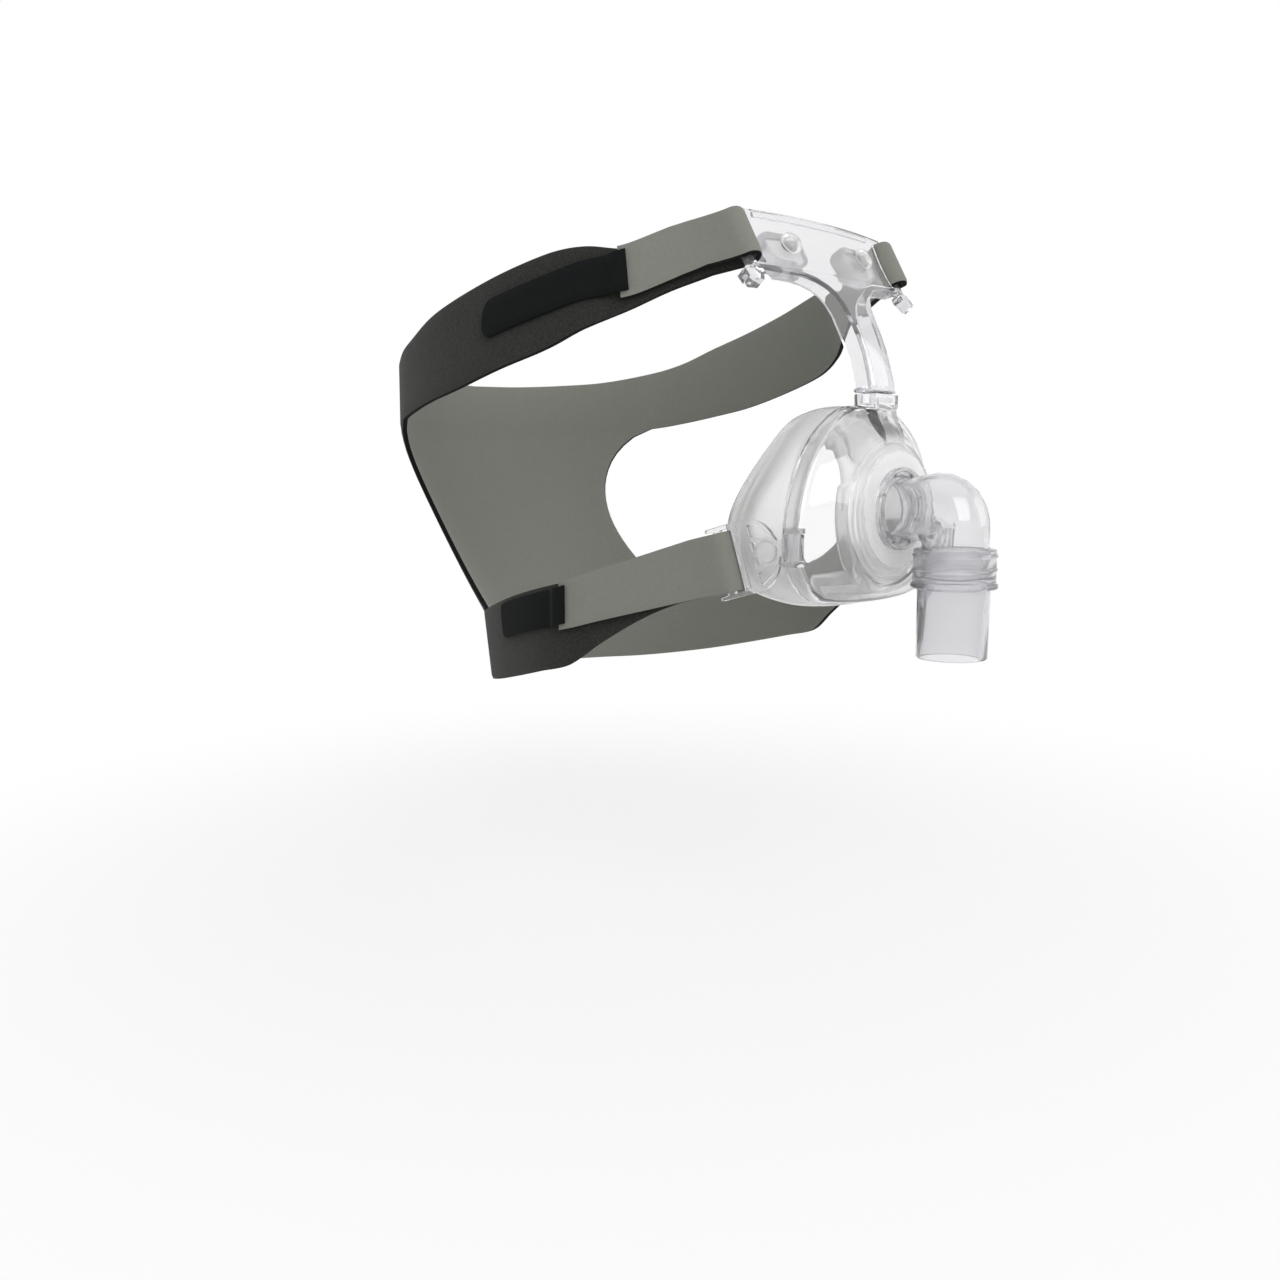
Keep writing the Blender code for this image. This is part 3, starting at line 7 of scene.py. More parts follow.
import bmesh
import bpy
import numpy as np
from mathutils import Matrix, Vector


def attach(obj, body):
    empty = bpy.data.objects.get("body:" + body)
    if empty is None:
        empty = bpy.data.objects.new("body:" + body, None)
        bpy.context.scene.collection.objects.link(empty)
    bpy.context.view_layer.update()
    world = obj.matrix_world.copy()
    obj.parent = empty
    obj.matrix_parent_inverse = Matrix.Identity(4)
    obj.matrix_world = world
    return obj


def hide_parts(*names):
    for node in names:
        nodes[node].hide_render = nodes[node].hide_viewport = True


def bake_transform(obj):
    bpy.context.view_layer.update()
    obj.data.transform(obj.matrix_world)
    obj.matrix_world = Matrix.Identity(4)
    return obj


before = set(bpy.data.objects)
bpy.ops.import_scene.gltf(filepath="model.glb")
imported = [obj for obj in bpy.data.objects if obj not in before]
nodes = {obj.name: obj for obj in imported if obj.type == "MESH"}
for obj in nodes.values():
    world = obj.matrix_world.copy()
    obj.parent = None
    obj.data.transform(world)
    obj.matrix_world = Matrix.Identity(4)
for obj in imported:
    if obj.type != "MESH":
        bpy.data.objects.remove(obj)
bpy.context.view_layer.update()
scene = bpy.context.scene

# Camera, fitted to the photograph
CAMERA_AT = (-0.3180, -0.2545, 0.0099)
CAMERA_AHEAD = (0.6817, 0.7183, -0.1392)
CAMERA_LENS = 32.34

# The head that the headgear goes round, and the laminate
LAMINATE = 0.0024
HEAD_HALF_WIDTH = 0.0760
HEAD_HALF_LENGTH = 0.0990
HEAD_CENTRE_Y = 0.0920
HEAD_ROUNDNESS = 2.1
UPPER_STRAP_WIDTH = 0.0165
LOWER_STRAP_WIDTH = 0.0190
UPPER_RETURN = 0.0400
LOWER_RETURN = 0.0640
RETURN_GAP = 0.0005
GAP = 0.0003
RETURN_RISE = 0.0018
RETURN_RISE_OVER = 0.020
RETURN_TAPER = 0.13
RETURN_SETTLED = 0.75
RETURN_STEPS = 26
FOLD_PLAY = 0.0002
FOLD_POINTS = 13
FREE_EDGE = 0.72
SEAM_WITHIN = 1e-6
COLUMN_SHARES = (-1.0, -0.90, -0.62, -0.22, 0.22, 0.62, 0.90, 1.0)

# Hook tabs
TAB_THICKNESS = 0.0012
TAB_OVERLAP = 0.0030
UPPER_TAB_LENGTH = 0.0540
LOWER_TAB_LENGTH = 0.0390
TAB_WIDTH = 0.0130
UPPER_TAB_CORNER = 0.0045
LOWER_TAB_CORNER = 0.0022
TAB_LIFT = 0.0001
TAB_DROP_AFTER = 0.0006
TAB_DROP_OVER = 0.0050
TAB_STATIONS = 44
TAB_END_SHARES = (0.85, 0.7, 0.5, 0.3, 0.15, 0.05, 0.0)
TAB_SECTION = ((-1, -1), (0, -1), (1, -1), (1, 0.4), (0.96, 0.9), (0.5, 1), (-0.5, 1), (-0.96, 0.9),
               (-1, 0.4))

# Upper band, by the angle round the head (90 is the back): top edge and bottom edge
UPPER_BAND = [(90, 0.0520, 0.0290), (75, 0.0525, 0.0292), (60, 0.0535, 0.0300), (45, 0.0550, 0.0312),
              (30, 0.0585, 0.0330), (20, 0.0622, 0.0352), (10, 0.0680, 0.0380), (0, 0.0730, 0.0412),
              (-12, 0.0787, 0.0466), (-24, 0.0835, 0.0520), (-32, 0.0850, 0.0580)]
# Lower band, from the nape forwards: share of the neck's half width, y, top edge and bottom edge
NECK_INSET = 0.0075
LOWER_BAND = [(0.0, 0.1435, -0.0436, -0.0712), (0.204, 0.1420, -0.0436, -0.0712),
              (0.401, 0.1358, -0.0434, -0.0710), (0.600, 0.1248, -0.0428, -0.0704),
              (0.752, 0.1112, -0.0410, -0.0686), (0.866, 0.0950, -0.0369, -0.0657),
              (0.946, 0.0775, -0.0322, -0.0618), (0.993, 0.0600, -0.0281, -0.0575),
              (0.982, 0.0450, -0.0246, -0.0535), (0.933, 0.0330, -0.0206, -0.0450)]
NECK_LEAN = 0.10
NECK_LEAN_FROM_Y = 0.045
NECK_LEAN_OVER = 0.040
BAND_CURL_RADIUS = 0.222
BAND_CURL_ABOVE = 0.050
BAND_SLACK = 0.0022
# Points between two rows of these tables, and the back panel between the bands
SPANS = 6
PANEL_SPANS = 4
PANEL_ROWS = 20
PANEL_WAIST = 0.80
PANEL_WAIST_CURVE = 0.7
PANEL_DEPTH_CURVE = 1.5
# The lower strap is a piece of its own from here, and a point on it is taken this far before the bar
STRAP_FROM = 6 * SPANS
BLEND_END = 0.006

# The crossbar and the clips, where the straps fold
ARM_SPINE = [(0.0295, -0.0352), (0.0350, -0.0345), (0.0400, -0.0333), (0.0460, -0.0320),
             (0.0540, -0.0290), (0.0620, -0.0250), (0.0700, -0.0205), (0.0740, -0.0175),
             (0.0780, -0.0143), (0.0840, -0.0105), (0.0900, -0.0075), (0.0965, -0.0050)]
ARM_WALL = 0.0020
CROSSBAR_HALF = 0.0410
CROSSBAR_BOTTOM = 0.0742
CROSSBAR_TOP = 0.0942
CROSSBAR_BOW = 0.0040
STRAP_BAR_WIDTH = 0.0028
PIN_X = 0.0422
PIN_Y = -0.0320
PIN_MID_Z = -0.0110
CLIP_HEADING = radians(17.5)
CLIP_SLOPE = radians(16.0)
CLIP_THICKNESS = 0.0022
CLIP_RISE = 0.0010
CLIP_SLOT_AT = 0.0189
CLIP_SLOT_WIDTH = 0.0037
CLIP_BAR_WIDTH = 0.0024
CLIP_BAR_AT = CLIP_SLOT_AT + CLIP_SLOT_WIDTH + CLIP_BAR_WIDTH / 2

# Cushion: half outlines of its rim and of its edge on the face, x and z, from the bridge to the lip
RIM_HALF = [(0.0, 0.0336), (0.012, 0.0324), (0.0215, 0.0272), (0.0285, 0.0203), (0.0337, 0.0115),
            (0.0371, 0.0013), (0.0385, -0.0080), (0.0372, -0.0176), (0.0330, -0.0242), (0.0240, -0.0294),
            (0.0, -0.0312)]
FACE_HALF = [(0.0, 0.0316), (0.0115, 0.0300), (0.0225, 0.0205), (0.0315, 0.0080), (0.0358, -0.0040),
             (0.0350, -0.0160), (0.0310, -0.0262), (0.0210, -0.0312), (0.0100, -0.0322), (0.0, -0.0322)]
WALL_BULGE = 0.0010
RIM_HALF_WIDTH = 0.0385
FACE_HALF_WIDTH = 0.0358
RIM_BACK_MID = -0.0250
RIM_BACK_SIDE = -0.0243
SKIRT_DEPTH = 0.0062
CHIN_EXTRA_DEPTH = 0.0023
SHELL_WALL = 0.0018
CUSHION_WALL = 0.0016
MEMBRANE = 0.0009
BRIDGE_Y = -0.0040
LIP_Y = -0.0150
CHEEK_Y = 0.0030
MEMBRANE_REACH = 0.0110
SUPPORT_REACH = 0.0066
TONGUE = 0.0036
TONGUE_PLAY = 0.0012
FOOT_INSET = 0.0003
FOOT_RISE = 0.0015
SHOULDER_DROP = 0.0035
AROUND = 128

# Pads: the button's radius and height, and the pad's half width, half height, corner and depth
PEG_X = 0.0195
PEG_Z = 0.0840
PEG_RADIUS = 0.0021
BUTTON = ((0.0010, 0.0025), (0.0028, 0.0023), (0.0036, 0.0016), (0.0038, 0.0008), (0.0037, 0.0001),
          (0.0034, 0.0))
PAD = ((0.0076, 0.0048, 0.0030, 0.0), (0.0086, 0.0058, 0.0038, 0.0003), (0.0090, 0.0062, 0.0040, 0.0012),
       (0.0090, 0.0062, 0.0040, 0.0046), (0.0085, 0.0057, 0.0038, 0.0060), (0.0074, 0.0046, 0.0032, 0.0065),
       (0.0050, 0.0022, 0.0018, 0.0064))

# Clear plastic: what its depth lets through, and the cloudy rings round the port, from clear to cloudy
PLASTIC_TINT = (0.66, 0.65, 0.69, 1.0)
RING_REACH = 0.030
RING_LEVELS = ((0.0, 0.0), (0.44, 0.0), (0.47, 0.9), (0.60, 1.0), (0.64, 0.45), (0.74, 0.35), (0.82, 0.0))
RING_CLARITY = (0.94, 0.38)
RING_ROUGHNESS = (0.03, 0.42)

# Floor, its fade round the shadow, and the shades of the sky that gloss and clear pieces see
FLOOR_Z = -0.150
FADE_FROM = 0.10
FADE_TO = 0.42
SHADOW_WHITE = 0.70
SKY_LIGHT = 0.60
SKY_SHADES = ((0.0, (0.95, 0.95, 0.95)), (0.30, (1.0, 1.0, 1.0)), (0.55, (0.80, 0.80, 0.81)),
              (0.78, (0.74, 0.74, 0.75)), (0.86, (1.30, 1.30, 1.30)))
BOUNCES = 32


def placed(name, data):
    """A new object in the scene."""
    thing = bpy.data.objects.new(name, data)
    scene.collection.objects.link(thing)
    return thing


# Materials

def shader_of(name):
    """A new material with its tree and Principled shader."""
    made = bpy.data.materials.new(name)
    made.use_nodes = True
    tree = made.node_tree
    return made, tree, tree.nodes["Principled BSDF"]


def noise(tree, scale, detail=3.0, roughness=0.55):
    """A noise texture on the object's own coordinates."""
    place = tree.nodes.new("ShaderNodeTexCoord")
    made = tree.nodes.new("ShaderNodeTexNoise")
    made.inputs["Scale"].default_value = scale
    made.inputs["Detail"].default_value = detail
    made.inputs["Roughness"].default_value = roughness
    tree.links.new(place.outputs["Object"], made.inputs["Vector"])
    return made.outputs["Fac"]


def ramp(tree, source, *stops):
    """A colour ramp over a value, from (position, colour) stops."""
    made = tree.nodes.new("ShaderNodeValToRGB")
    tree.links.new(source, made.inputs["Fac"])
    while len(made.color_ramp.elements) < len(stops):
        made.color_ramp.elements.new(0.5)
    for element, (at, colour) in zip(made.color_ramp.elements, stops):
        element.position = at
        element.color = (*colour, 1.0)
    return made.outputs["Color"]


def bump(tree, shader, height, strength, distance):
    """Bump from a height value, added to what is there."""
    made = tree.nodes.new("ShaderNodeBump")
    made.inputs["Strength"].default_value = strength
    made.inputs["Distance"].default_value = distance
    tree.links.new(height, made.inputs["Height"])
    if shader.inputs["Normal"].is_linked:
        tree.links.new(shader.inputs["Normal"].links[0].from_socket, made.inputs["Normal"])
    tree.links.new(made.outputs["Normal"], shader.inputs["Normal"])


def clear_plastic(name, colour, roughness, density, ior=1.49, ripple=0.0, milk=0.0):
    """Moulded clear plastic: it darkens with the length of the way through it; milk makes it cloudy."""
    made, tree, shader = shader_of(name)
    shader.inputs["Base Color"].default_value = (*colour, 1.0)
    shader.inputs["Roughness"].default_value = roughness
    shader.inputs["IOR"].default_value = ior
    shader.inputs["Transmission Weight"].default_value = 1.0 - milk
    tint = tree.nodes.new("ShaderNodeVolumeAbsorption")
    tint.inputs["Color"].default_value = PLASTIC_TINT
    tint.inputs["Density"].default_value = density
    tree.links.new(tint.outputs["Volume"], tree.nodes["Material Output"].inputs["Volume"])
    if ripple:
        bump(tree, shader, noise(tree, 55.0, 1.5), ripple, 0.0006)
    return made


def scale_of(tree, source, low, high):
    """A number between low and high, from a value between 0 and 1."""
    made = tree.nodes.new("ShaderNodeMapRange")
    made.inputs["To Min"].default_value = low
    made.inputs["To Max"].default_value = high
    tree.links.new(source, made.inputs["Value"])
    return made.outputs["Result"]


def frosted_ring(made):
    """Clouds the shell in rings round its port, fading out at the foot of the boss."""
    tree = made.node_tree
    shader = tree.nodes["Principled BSDF"]
    place = tree.nodes.new("ShaderNodeTexCoord")
    flat = tree.nodes.new("ShaderNodeVectorMath")
    flat.operation = "MULTIPLY"
    flat.inputs[1].default_value = (1.0 / RING_REACH, 0.0, 1.0 / RING_REACH)
    away = tree.nodes.new("ShaderNodeVectorMath")
    away.operation = "LENGTH"
    tree.links.new(place.outputs["Object"], flat.inputs[0])
    tree.links.new(flat.outputs[0], away.inputs[0])
    cloud = ramp(tree, away.outputs["Value"], *[(at, (level,) * 3) for at, level in RING_LEVELS])
    tree.links.new(scale_of(tree, cloud, *RING_CLARITY), shader.inputs["Transmission Weight"])
    tree.links.new(scale_of(tree, cloud, *RING_ROUGHNESS), shader.inputs["Roughness"])
    return made


def felt(name, dark, light):
    """Napped loop cloth: mottled fibres with a soft sheen."""
    made, tree, shader = shader_of(name)
    mottle = noise(tree, 1300.0, 6.0, 0.75)
    colour = ramp(tree, mottle, (0.30, dark), (0.72, light))
    tree.links.new(colour, shader.inputs["Base Color"])
    shader.inputs["Roughness"].default_value = 0.95
    shader.inputs["Specular IOR Level"].default_value = 0.15
    shader.inputs["Sheen Weight"].default_value = 0.12
    shader.inputs["Sheen Roughness"].default_value = 0.5
    bump(tree, shader, noise(tree, 2000.0, 4.0, 0.7), 0.50, 0.0004)
    bump(tree, shader, noise(tree, 300.0, 3.0), 0.20, 0.0005)
    return made


def lining(name, dark, light):
    """Smooth knitted lining: fine courses and a faint sheen."""
    made, tree, shader = shader_of(name)
    colour = ramp(tree, noise(tree, 700.0, 6.0, 0.8), (0.25, dark), (0.75, light))
    tree.links.new(colour, shader.inputs["Base Color"])
    shader.inputs["Roughness"].default_value = 0.80
    shader.inputs["Specular IOR Level"].default_value = 0.3
    shader.inputs["Sheen Weight"].default_value = 0.15
    shader.inputs["Sheen Roughness"].default_value = 0.4
    bump(tree, shader, noise(tree, 2200.0, 2.0), 0.25, 0.0002)
    return made


def plain(name, colour, roughness, grain):
    """A dense matt material with a fine grain."""
    made, tree, shader = shader_of(name)
    shade = ramp(tree, noise(tree, grain, 4.0), (0.3, tuple(0.7 * c for c in colour)),
                 (0.7, tuple(1.5 * c for c in colour)))
    tree.links.new(shade, shader.inputs["Base Color"])
    shader.inputs["Roughness"].default_value = roughness
    shader.inputs["Specular IOR Level"].default_value = 0.15
    bump(tree, shader, noise(tree, grain * 1.5, 3.0), 0.5, 0.0003)
    return made


CLEAR = clear_plastic("clear_polycarbonate", (0.97, 0.97, 0.975), roughness=0.02, density=90.0, milk=0.08)
SHELL_CLEAR = frosted_ring(clear_plastic("clear_shell", (0.98, 0.98, 0.985), roughness=0.02, density=26.0))
CUFF_CLEAR = clear_plastic("clear_cuff", (0.94, 0.94, 0.95), roughness=0.05, density=160.0,
                           ripple=0.15, milk=0.12)
SILICONE = clear_plastic("clear_silicone", (0.98, 0.98, 0.975), roughness=0.25, density=9.0,
                         ior=1.41, milk=0.32)
PAD_SILICONE = clear_plastic("clear_pad", (0.98, 0.98, 0.975), roughness=0.22, density=9.0,
                             ior=1.41, milk=0.22)
LOOP = felt("loop_cloth", (0.009, 0.0098, 0.008), (0.040, 0.0415, 0.036))
LINING = lining("strap_lining", (0.176, 0.182, 0.158), (0.208, 0.215, 0.187))
FOAM = plain("foam_edge", (0.005, 0.005, 0.005), roughness=0.9, grain=1500.0)
HOOK = plain("hook_tape", (0.0032, 0.0038, 0.0040), roughness=0.85, grain=1800.0)


# Helpers for shape

def arc(centre, radius, start, end, count):
    """Points on an arc in a plane, from start to end in radians, both ends included."""
    return [(centre[0] + radius * cos(a), centre[1] + radius * sin(a))
            for a in np.linspace(start, end, count)]


def smooth_path(points, per_span):
    """Catmull-Rom curve through the points, each a tuple of any length."""
    pts = [np.array(p, float) for p in points]
    pts = [2 * pts[0] - pts[1]] + pts + [2 * pts[-1] - pts[-2]]
    out = []
    for p0, p1, p2, p3 in zip(pts, pts[1:], pts[2:], pts[3:]):
        for s in np.arange(per_span) / per_span:
            out.append(0.5 * (2 * p1 + (p2 - p0) * s + (2 * p0 - 5 * p1 + 4 * p2 - p3) * s ** 2
                              + (3 * p1 - p0 - 3 * p2 + p3) * s ** 3))
    return out + [pts[-2]]


def mix(a, b, share):
    """Straight blend from a to b."""
    return a + (b - a) * share


def mesh_object(name, verts, faces, finish):
    """A smooth object in one material, from points in the world."""
    mesh = bpy.data.meshes.new(name)
    bm = bmesh.new()
    made = [bm.verts.new(Vector(v)) for v in verts]
    for face in faces:
        bm.faces.new([made[i] for i in face])
    bmesh.ops.recalc_face_normals(bm, faces=bm.faces)
    bm.to_mesh(mesh)
    bm.free()
    mesh.materials.append(finish)
    mesh.shade_smooth()
    return placed(name, mesh)


def loft(rings, tube=False):
    """Points and faces of a skin over equal rings: capped at both ends, or joined end to end."""
    count = len(rings[0])
    verts = [p for ring in rings for p in ring]
    faces = []
    last = len(rings) if tube else len(rings) - 1
    for i in range(last):
        a = i * count
        b = ((i + 1) % len(rings)) * count
        for j in range(count):
            k = (j + 1) % count
            faces.append((a + j, a + k, b + k, b + j))
    if not tube:
        faces.append(tuple(range(count)))
        faces.append(tuple(len(verts) - count + j for j in range(count)))
    return verts, faces


# Rigid pieces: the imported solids, with eased edges

def ease(node, finish, width):
    """Welds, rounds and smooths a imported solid, and gives it its finish."""
    thing = nodes[node]
    thing.data.materials.clear()
    thing.data.materials.append(finish)
    weld = thing.modifiers.new("weld", "WELD")
    weld.merge_threshold = 0.00002
    edge = thing.modifiers.new("edge", "BEVEL")
    edge.width = width
    edge.segments = 2
    edge.limit_method = "ANGLE"
    edge.angle_limit = radians(40)
    edge.use_clamp_overlap = True
    edge.harden_normals = False
    thing.data.shade_smooth()
    normals = thing.modifiers.new("normals", "WEIGHTED_NORMAL")
    normals.keep_sharp = False


# Node, finish and width of its eased edges
RIGID = (("frame_shell", SHELL_CLEAR, 0.00015), ("elbow", CLEAR, 0.00015),
         ("swivel_cuff", CUFF_CLEAR, 0.00012), ("forehead_support", CLEAR, 0.00025),
         ("right_strap_clip", CLEAR, 0.0002), ("left_strap_clip", CLEAR, 0.0002))
for node_name, node_finish, node_width in RIGID:
    ease(node_name, node_finish, node_width)


# Cushion

ANGLES = [pi / 2 + 2 * pi * k / AROUND for k in range(AROUND)]


def polar_outline(half):
    """Radius from the origin at AROUND even angles, for a half outline mirrored about x = 0."""
    left = [(-x, z) for x, z in half[-2:0:-1]]
    loop = half + left
    closed = loop[-3:] + loop + loop[:4]
    dense = smooth_path(closed, 10)
    angles = np.unwrap([atan2(p[1], p[0]) for p in dense])
    radii = [hypot(p[0], p[1]) for p in dense]
    order = np.argsort(angles)
    wanted = np.array(ANGLES)
    low = angles.min() + 2 * pi / AROUND
    wanted = low + np.mod(wanted - low, 2 * pi)
    return np.interp(wanted, angles[order], np.array(radii)[order])


RIM = polar_outline(RIM_HALF)
FACE = polar_outline(FACE_HALF)


def rim_back(radius, angle):
    """Depth of the rim's back edge: it sweeps back round the cheeks."""
    share = radius * cos(angle) / RIM_HALF_WIDTH
    return mix(RIM_BACK_MID, RIM_BACK_SIDE, share * share)


def rim_front(radius, angle):
    """Depth of the skirt's front edge, a little further forward over the lip."""
    over_lip = max(0.0, -sin(angle))
    return rim_back(radius, angle) - SKIRT_DEPTH - CHIN_EXTRA_DEPTH * over_lip


def face_depth(radius, angle):
    """Depth of the rolled edge that meets the face: bridge, cheeks and lip."""
    across = radius * cos(angle) / FACE_HALF_WIDTH
    upward = (sin(angle) + 1) / 2
    return mix(mix(LIP_Y, BRIDGE_Y, upward), CHEEK_Y, across * across)


def cushion_section(rim, face, angle):
    """Section of the cushion: tongue inside the skirt, wall, rolled edge, membrane and support lip."""
    back = rim_back(rim, angle)
    front = rim_front(rim, angle)
    tongue = min(TONGUE, back - front - SHELL_WALL - TONGUE_PLAY)
    depth = face_depth(face, angle)
    slot = rim - SHELL_WALL - GAP
    foot = rim - FOOT_INSET
    wall = CUSHION_WALL
    skin = MEMBRANE

    def wall_point(share, inset):
        bulge = WALL_BULGE * 4 * share * (1 - share) - inset
        return mix(foot, face, share) + bulge, mix(back + FOOT_RISE, depth - SHOULDER_DROP, share)

    outer = [(slot - 0.0006, back - tongue), (slot - 0.0001, back + GAP), (rim - 0.0007, back + GAP),
             (foot, back + FOOT_RISE)]
    outer += [wall_point(share, 0.0) for share in (0.2, 0.4, 0.6, 0.8)]
    outer += [(face, depth - 0.0032), (face - 0.0009, depth - 0.0010), (face - 0.0028, depth),
              (face - 0.0060, depth - 0.0006), (face - MEMBRANE_REACH, depth - 0.0034)]
    inner = [(face - MEMBRANE_REACH - 0.0001, depth - 0.0034 - skin),
             (face - 0.0060, depth - 0.0006 - skin), (face - 0.0031, depth - skin - 0.0002),
             (face - wall - 0.0006, depth - 0.0026), (face - wall - 0.0004, depth - 0.0052),
             (face - 0.0040, depth - 0.0044), (face - SUPPORT_REACH, depth - 0.0056),
             (face - SUPPORT_REACH, depth - 0.0068), (face - 0.0042, depth - 0.0062),
             (face - wall - 0.0008, depth - 0.0080)]
    inner += [wall_point(share, wall + 0.0006) for share in (0.6, 0.25)]
    inner += [(slot - wall - 0.0006, back + GAP), (slot - wall - 0.0002, back - tongue)]
    return outer + inner


def build_cushion():
    """The silicone cushion as one soft moulding."""
    sections = [cushion_section(r, f, a) for r, f, a in zip(RIM, FACE, ANGLES)]
    rings = []
    for k in range(len(sections[0])):
        rings.append([(s[k][0] * cos(a), s[k][1], s[k][0] * sin(a)) for s, a in zip(sections, ANGLES)])
    cushion = mesh_object("nose_cushion", *loft(rings, tube=True), SILICONE)
    smooth = cushion.modifiers.new("smooth", "SUBSURF")
    smooth.levels = smooth.render_levels = 1
    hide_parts("cushion")
    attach(cushion, "mask")


build_cushion()


# Forehead support's curve, for the pads and the upper straps

SPINE = smooth_path(ARM_SPINE, 8)


def spine_y(z):
    """Depth of the front face of the forehead support at the mid plane."""
    return float(np.interp(z, [p[0] for p in SPINE], [p[1] for p in SPINE]))


def lean(z):
    """Lean of the front face from upright, in radians."""
    return atan2(spine_y(z + 0.001) - spine_y(z - 0.001), 0.002)


def bow(x):
    """How far the crossbar's ends curve back."""
    return CROSSBAR_BOW * (x / CROSSBAR_HALF) ** 2


def tilted(x, v, w, z, tilt):
    """A point of the leaning crossbar: v up its face and w behind it, about the height z."""
    return (x, spine_y(z) + bow(x) + v * sin(tilt) + w * cos(tilt), z + v * cos(tilt) - w * sin(tilt))


def build_pad(name, node, side):
    """A forehead pad with its button through the crossbar."""
    tilt = lean(PEG_Z)
    steps = 8
    behind = ARM_WALL + GAP

    def round_box(half_u, half_v, corner):
        out = []
        for k, (su, sv) in enumerate(((1, 1), (-1, 1), (-1, -1), (1, -1))):
            start = k * pi / 2
            centre = (su * (half_u - corner), sv * (half_v - corner))
            out += arc(centre, corner, start, start + pi / 2, steps)
        return out

    def ring(half_u, half_v, corner, w):
        return [tilted(side * PEG_X + u, v, w, PEG_Z, tilt) for u, v in round_box(half_u, half_v, corner)]

    def disc(radius, w):
        return ring(radius, radius, radius * 0.99, w)

    head = -GAP
    rings = [disc(radius, head - height) for radius, height in BUTTON]
    rings += [disc(PEG_RADIUS, head), disc(PEG_RADIUS, behind)]
    rings += [ring(half_u, half_v, corner, behind + depth) for half_u, half_v, corner, depth in PAD]
    pad = mesh_object(name, *loft(rings), PAD_SILICONE)
    pad.data.set_sharp_from_angle(angle=radians(60))
    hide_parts(node)
    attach(pad, "mask")


build_pad("right_pad", "right_forehead_pad", -1)
build_pad("left_pad", "left_forehead_pad", 1)


# Headgear

def clip_bar():
    """Middle of the right clip's strap bar, and the way up along the bar."""
    ahead = Vector((-sin(CLIP_HEADING), cos(CLIP_HEADING), 0.0))
    along = Vector((ahead.x * cos(CLIP_SLOPE), ahead.y * cos(CLIP_SLOPE), -sin(CLIP_SLOPE)))
    up = Vector((ahead.x * sin(CLIP_SLOPE), ahead.y * sin(CLIP_SLOPE), cos(CLIP_SLOPE)))
    pin = Vector((-PIN_X, PIN_Y, PIN_MID_Z + CLIP_RISE))
    return pin + along * CLIP_BAR_AT, up.normalized()


def head_point(degrees):
    """A point on the plan of the head at the middle of the laminate, wearer's right side."""
    t = radians(degrees)
    a = HEAD_HALF_WIDTH + LAMINATE / 2
    b = HEAD_HALF_LENGTH + LAMINATE / 2
    power = 2 / HEAD_ROUNDNESS
    x = -a * abs(cos(t)) ** power if degrees < 90 else 0.0
    y = HEAD_CENTRE_Y + b * np.sign(sin(t)) * abs(sin(t)) ** power
    return x, float(y)


class Band:
    """A strap's middle surface: stations with a centre, a width direction and a half width."""

    def __init__(self, stations):
        self.centre = [Vector(s[0]) for s in stations]
        self.up = [Vector(s[1]).normalized() for s in stations]
        self.half = [s[2] for s in stations]
        steps = [(b - a).length for a, b in zip(self.centre, self.centre[1:])]
        self.run = np.concatenate(([0.0], np.cumsum(steps)))
        self.length = float(self.run[-1])

    def at(self, s):
        """Centre, up, tangent, outward normal and half width at a distance along the band."""
        s = min(max(s, 0.0), self.length)
        i = int(min(np.searchsorted(self.run, s, side="right") - 1, len(self.centre) - 2))
        share = (s - self.run[i]) / (self.run[i + 1] - self.run[i])
        centre = self.centre[i].lerp(self.centre[i + 1], share)
        up = self.up[i].lerp(self.up[i + 1], share).normalized()
        tangent = self.centre[i + 1] - self.centre[i]
        before = self.centre[i] - self.centre[max(i - 1, 0)]
        after = self.centre[min(i + 2, len(self.centre) - 1)] - self.centre[i + 1]
        start = (before + tangent).normalized()
        end = (tangent + after).normalized()
        tangent = start.lerp(end, share).normalized()
        out = tangent.cross(up).normalized()
        return centre, up, tangent, out, mix(self.half[i], self.half[i + 1], share)


def upper_band():
    """Stations of the upper band from the middle of the back to the crossbar's strap bar."""
    bar_z = (CROSSBAR_BOTTOM + CROSSBAR_TOP) / 2
    tilt = lean(bar_z)
    bar_x = CROSSBAR_HALF - STRAP_BAR_WIDTH / 2
    bar_y = spine_y(bar_z) + bow(bar_x) + ARM_WALL / 2 * cos(tilt)
    half = UPPER_STRAP_WIDTH / 2
    rows = []
    for degrees, top, bottom in UPPER_BAND:
        x, y = head_point(degrees)
        inward = max(0.0, top - BAND_CURL_ABOVE) ** 2 / BAND_CURL_RADIUS
        rows.append((x, y, top, bottom, inward))
    bar = Vector((-bar_x, bar_y, bar_z))
    last = Vector((rows[-1][0], rows[-1][1], (rows[-1][2] + rows[-1][3]) / 2))
    for share in (0.28, 0.52, 0.76):
        p = last.lerp(bar, share)
        grow = half + (rows[-1][2] - rows[-1][3] - 2 * half) / 2 * max(0.0, 1 - share / 0.5) ** 1.6
        mid = mix(last.z, bar.z, min(1.0, share * 1.12)) - BAND_SLACK * (1 - share)
        rows.append((p.x, p.y, mid + grow, mid - grow, 0.0010 * (1 - share)))
    stations = []
    for x, y, top, bottom, inward in smooth_path(rows, SPANS):
        side = Vector((x, (y - HEAD_CENTRE_Y) * HEAD_HALF_WIDTH / HEAD_HALF_LENGTH, 0.0)).normalized()
        up = Vector((-side.x * inward, -side.y * inward, top - bottom))
        stations.append([Vector((x, y, (top + bottom) / 2)), up, (top - bottom) / 2])
    up = Vector((0.0, sin(tilt), cos(tilt)))
    return stations, bar, up, half


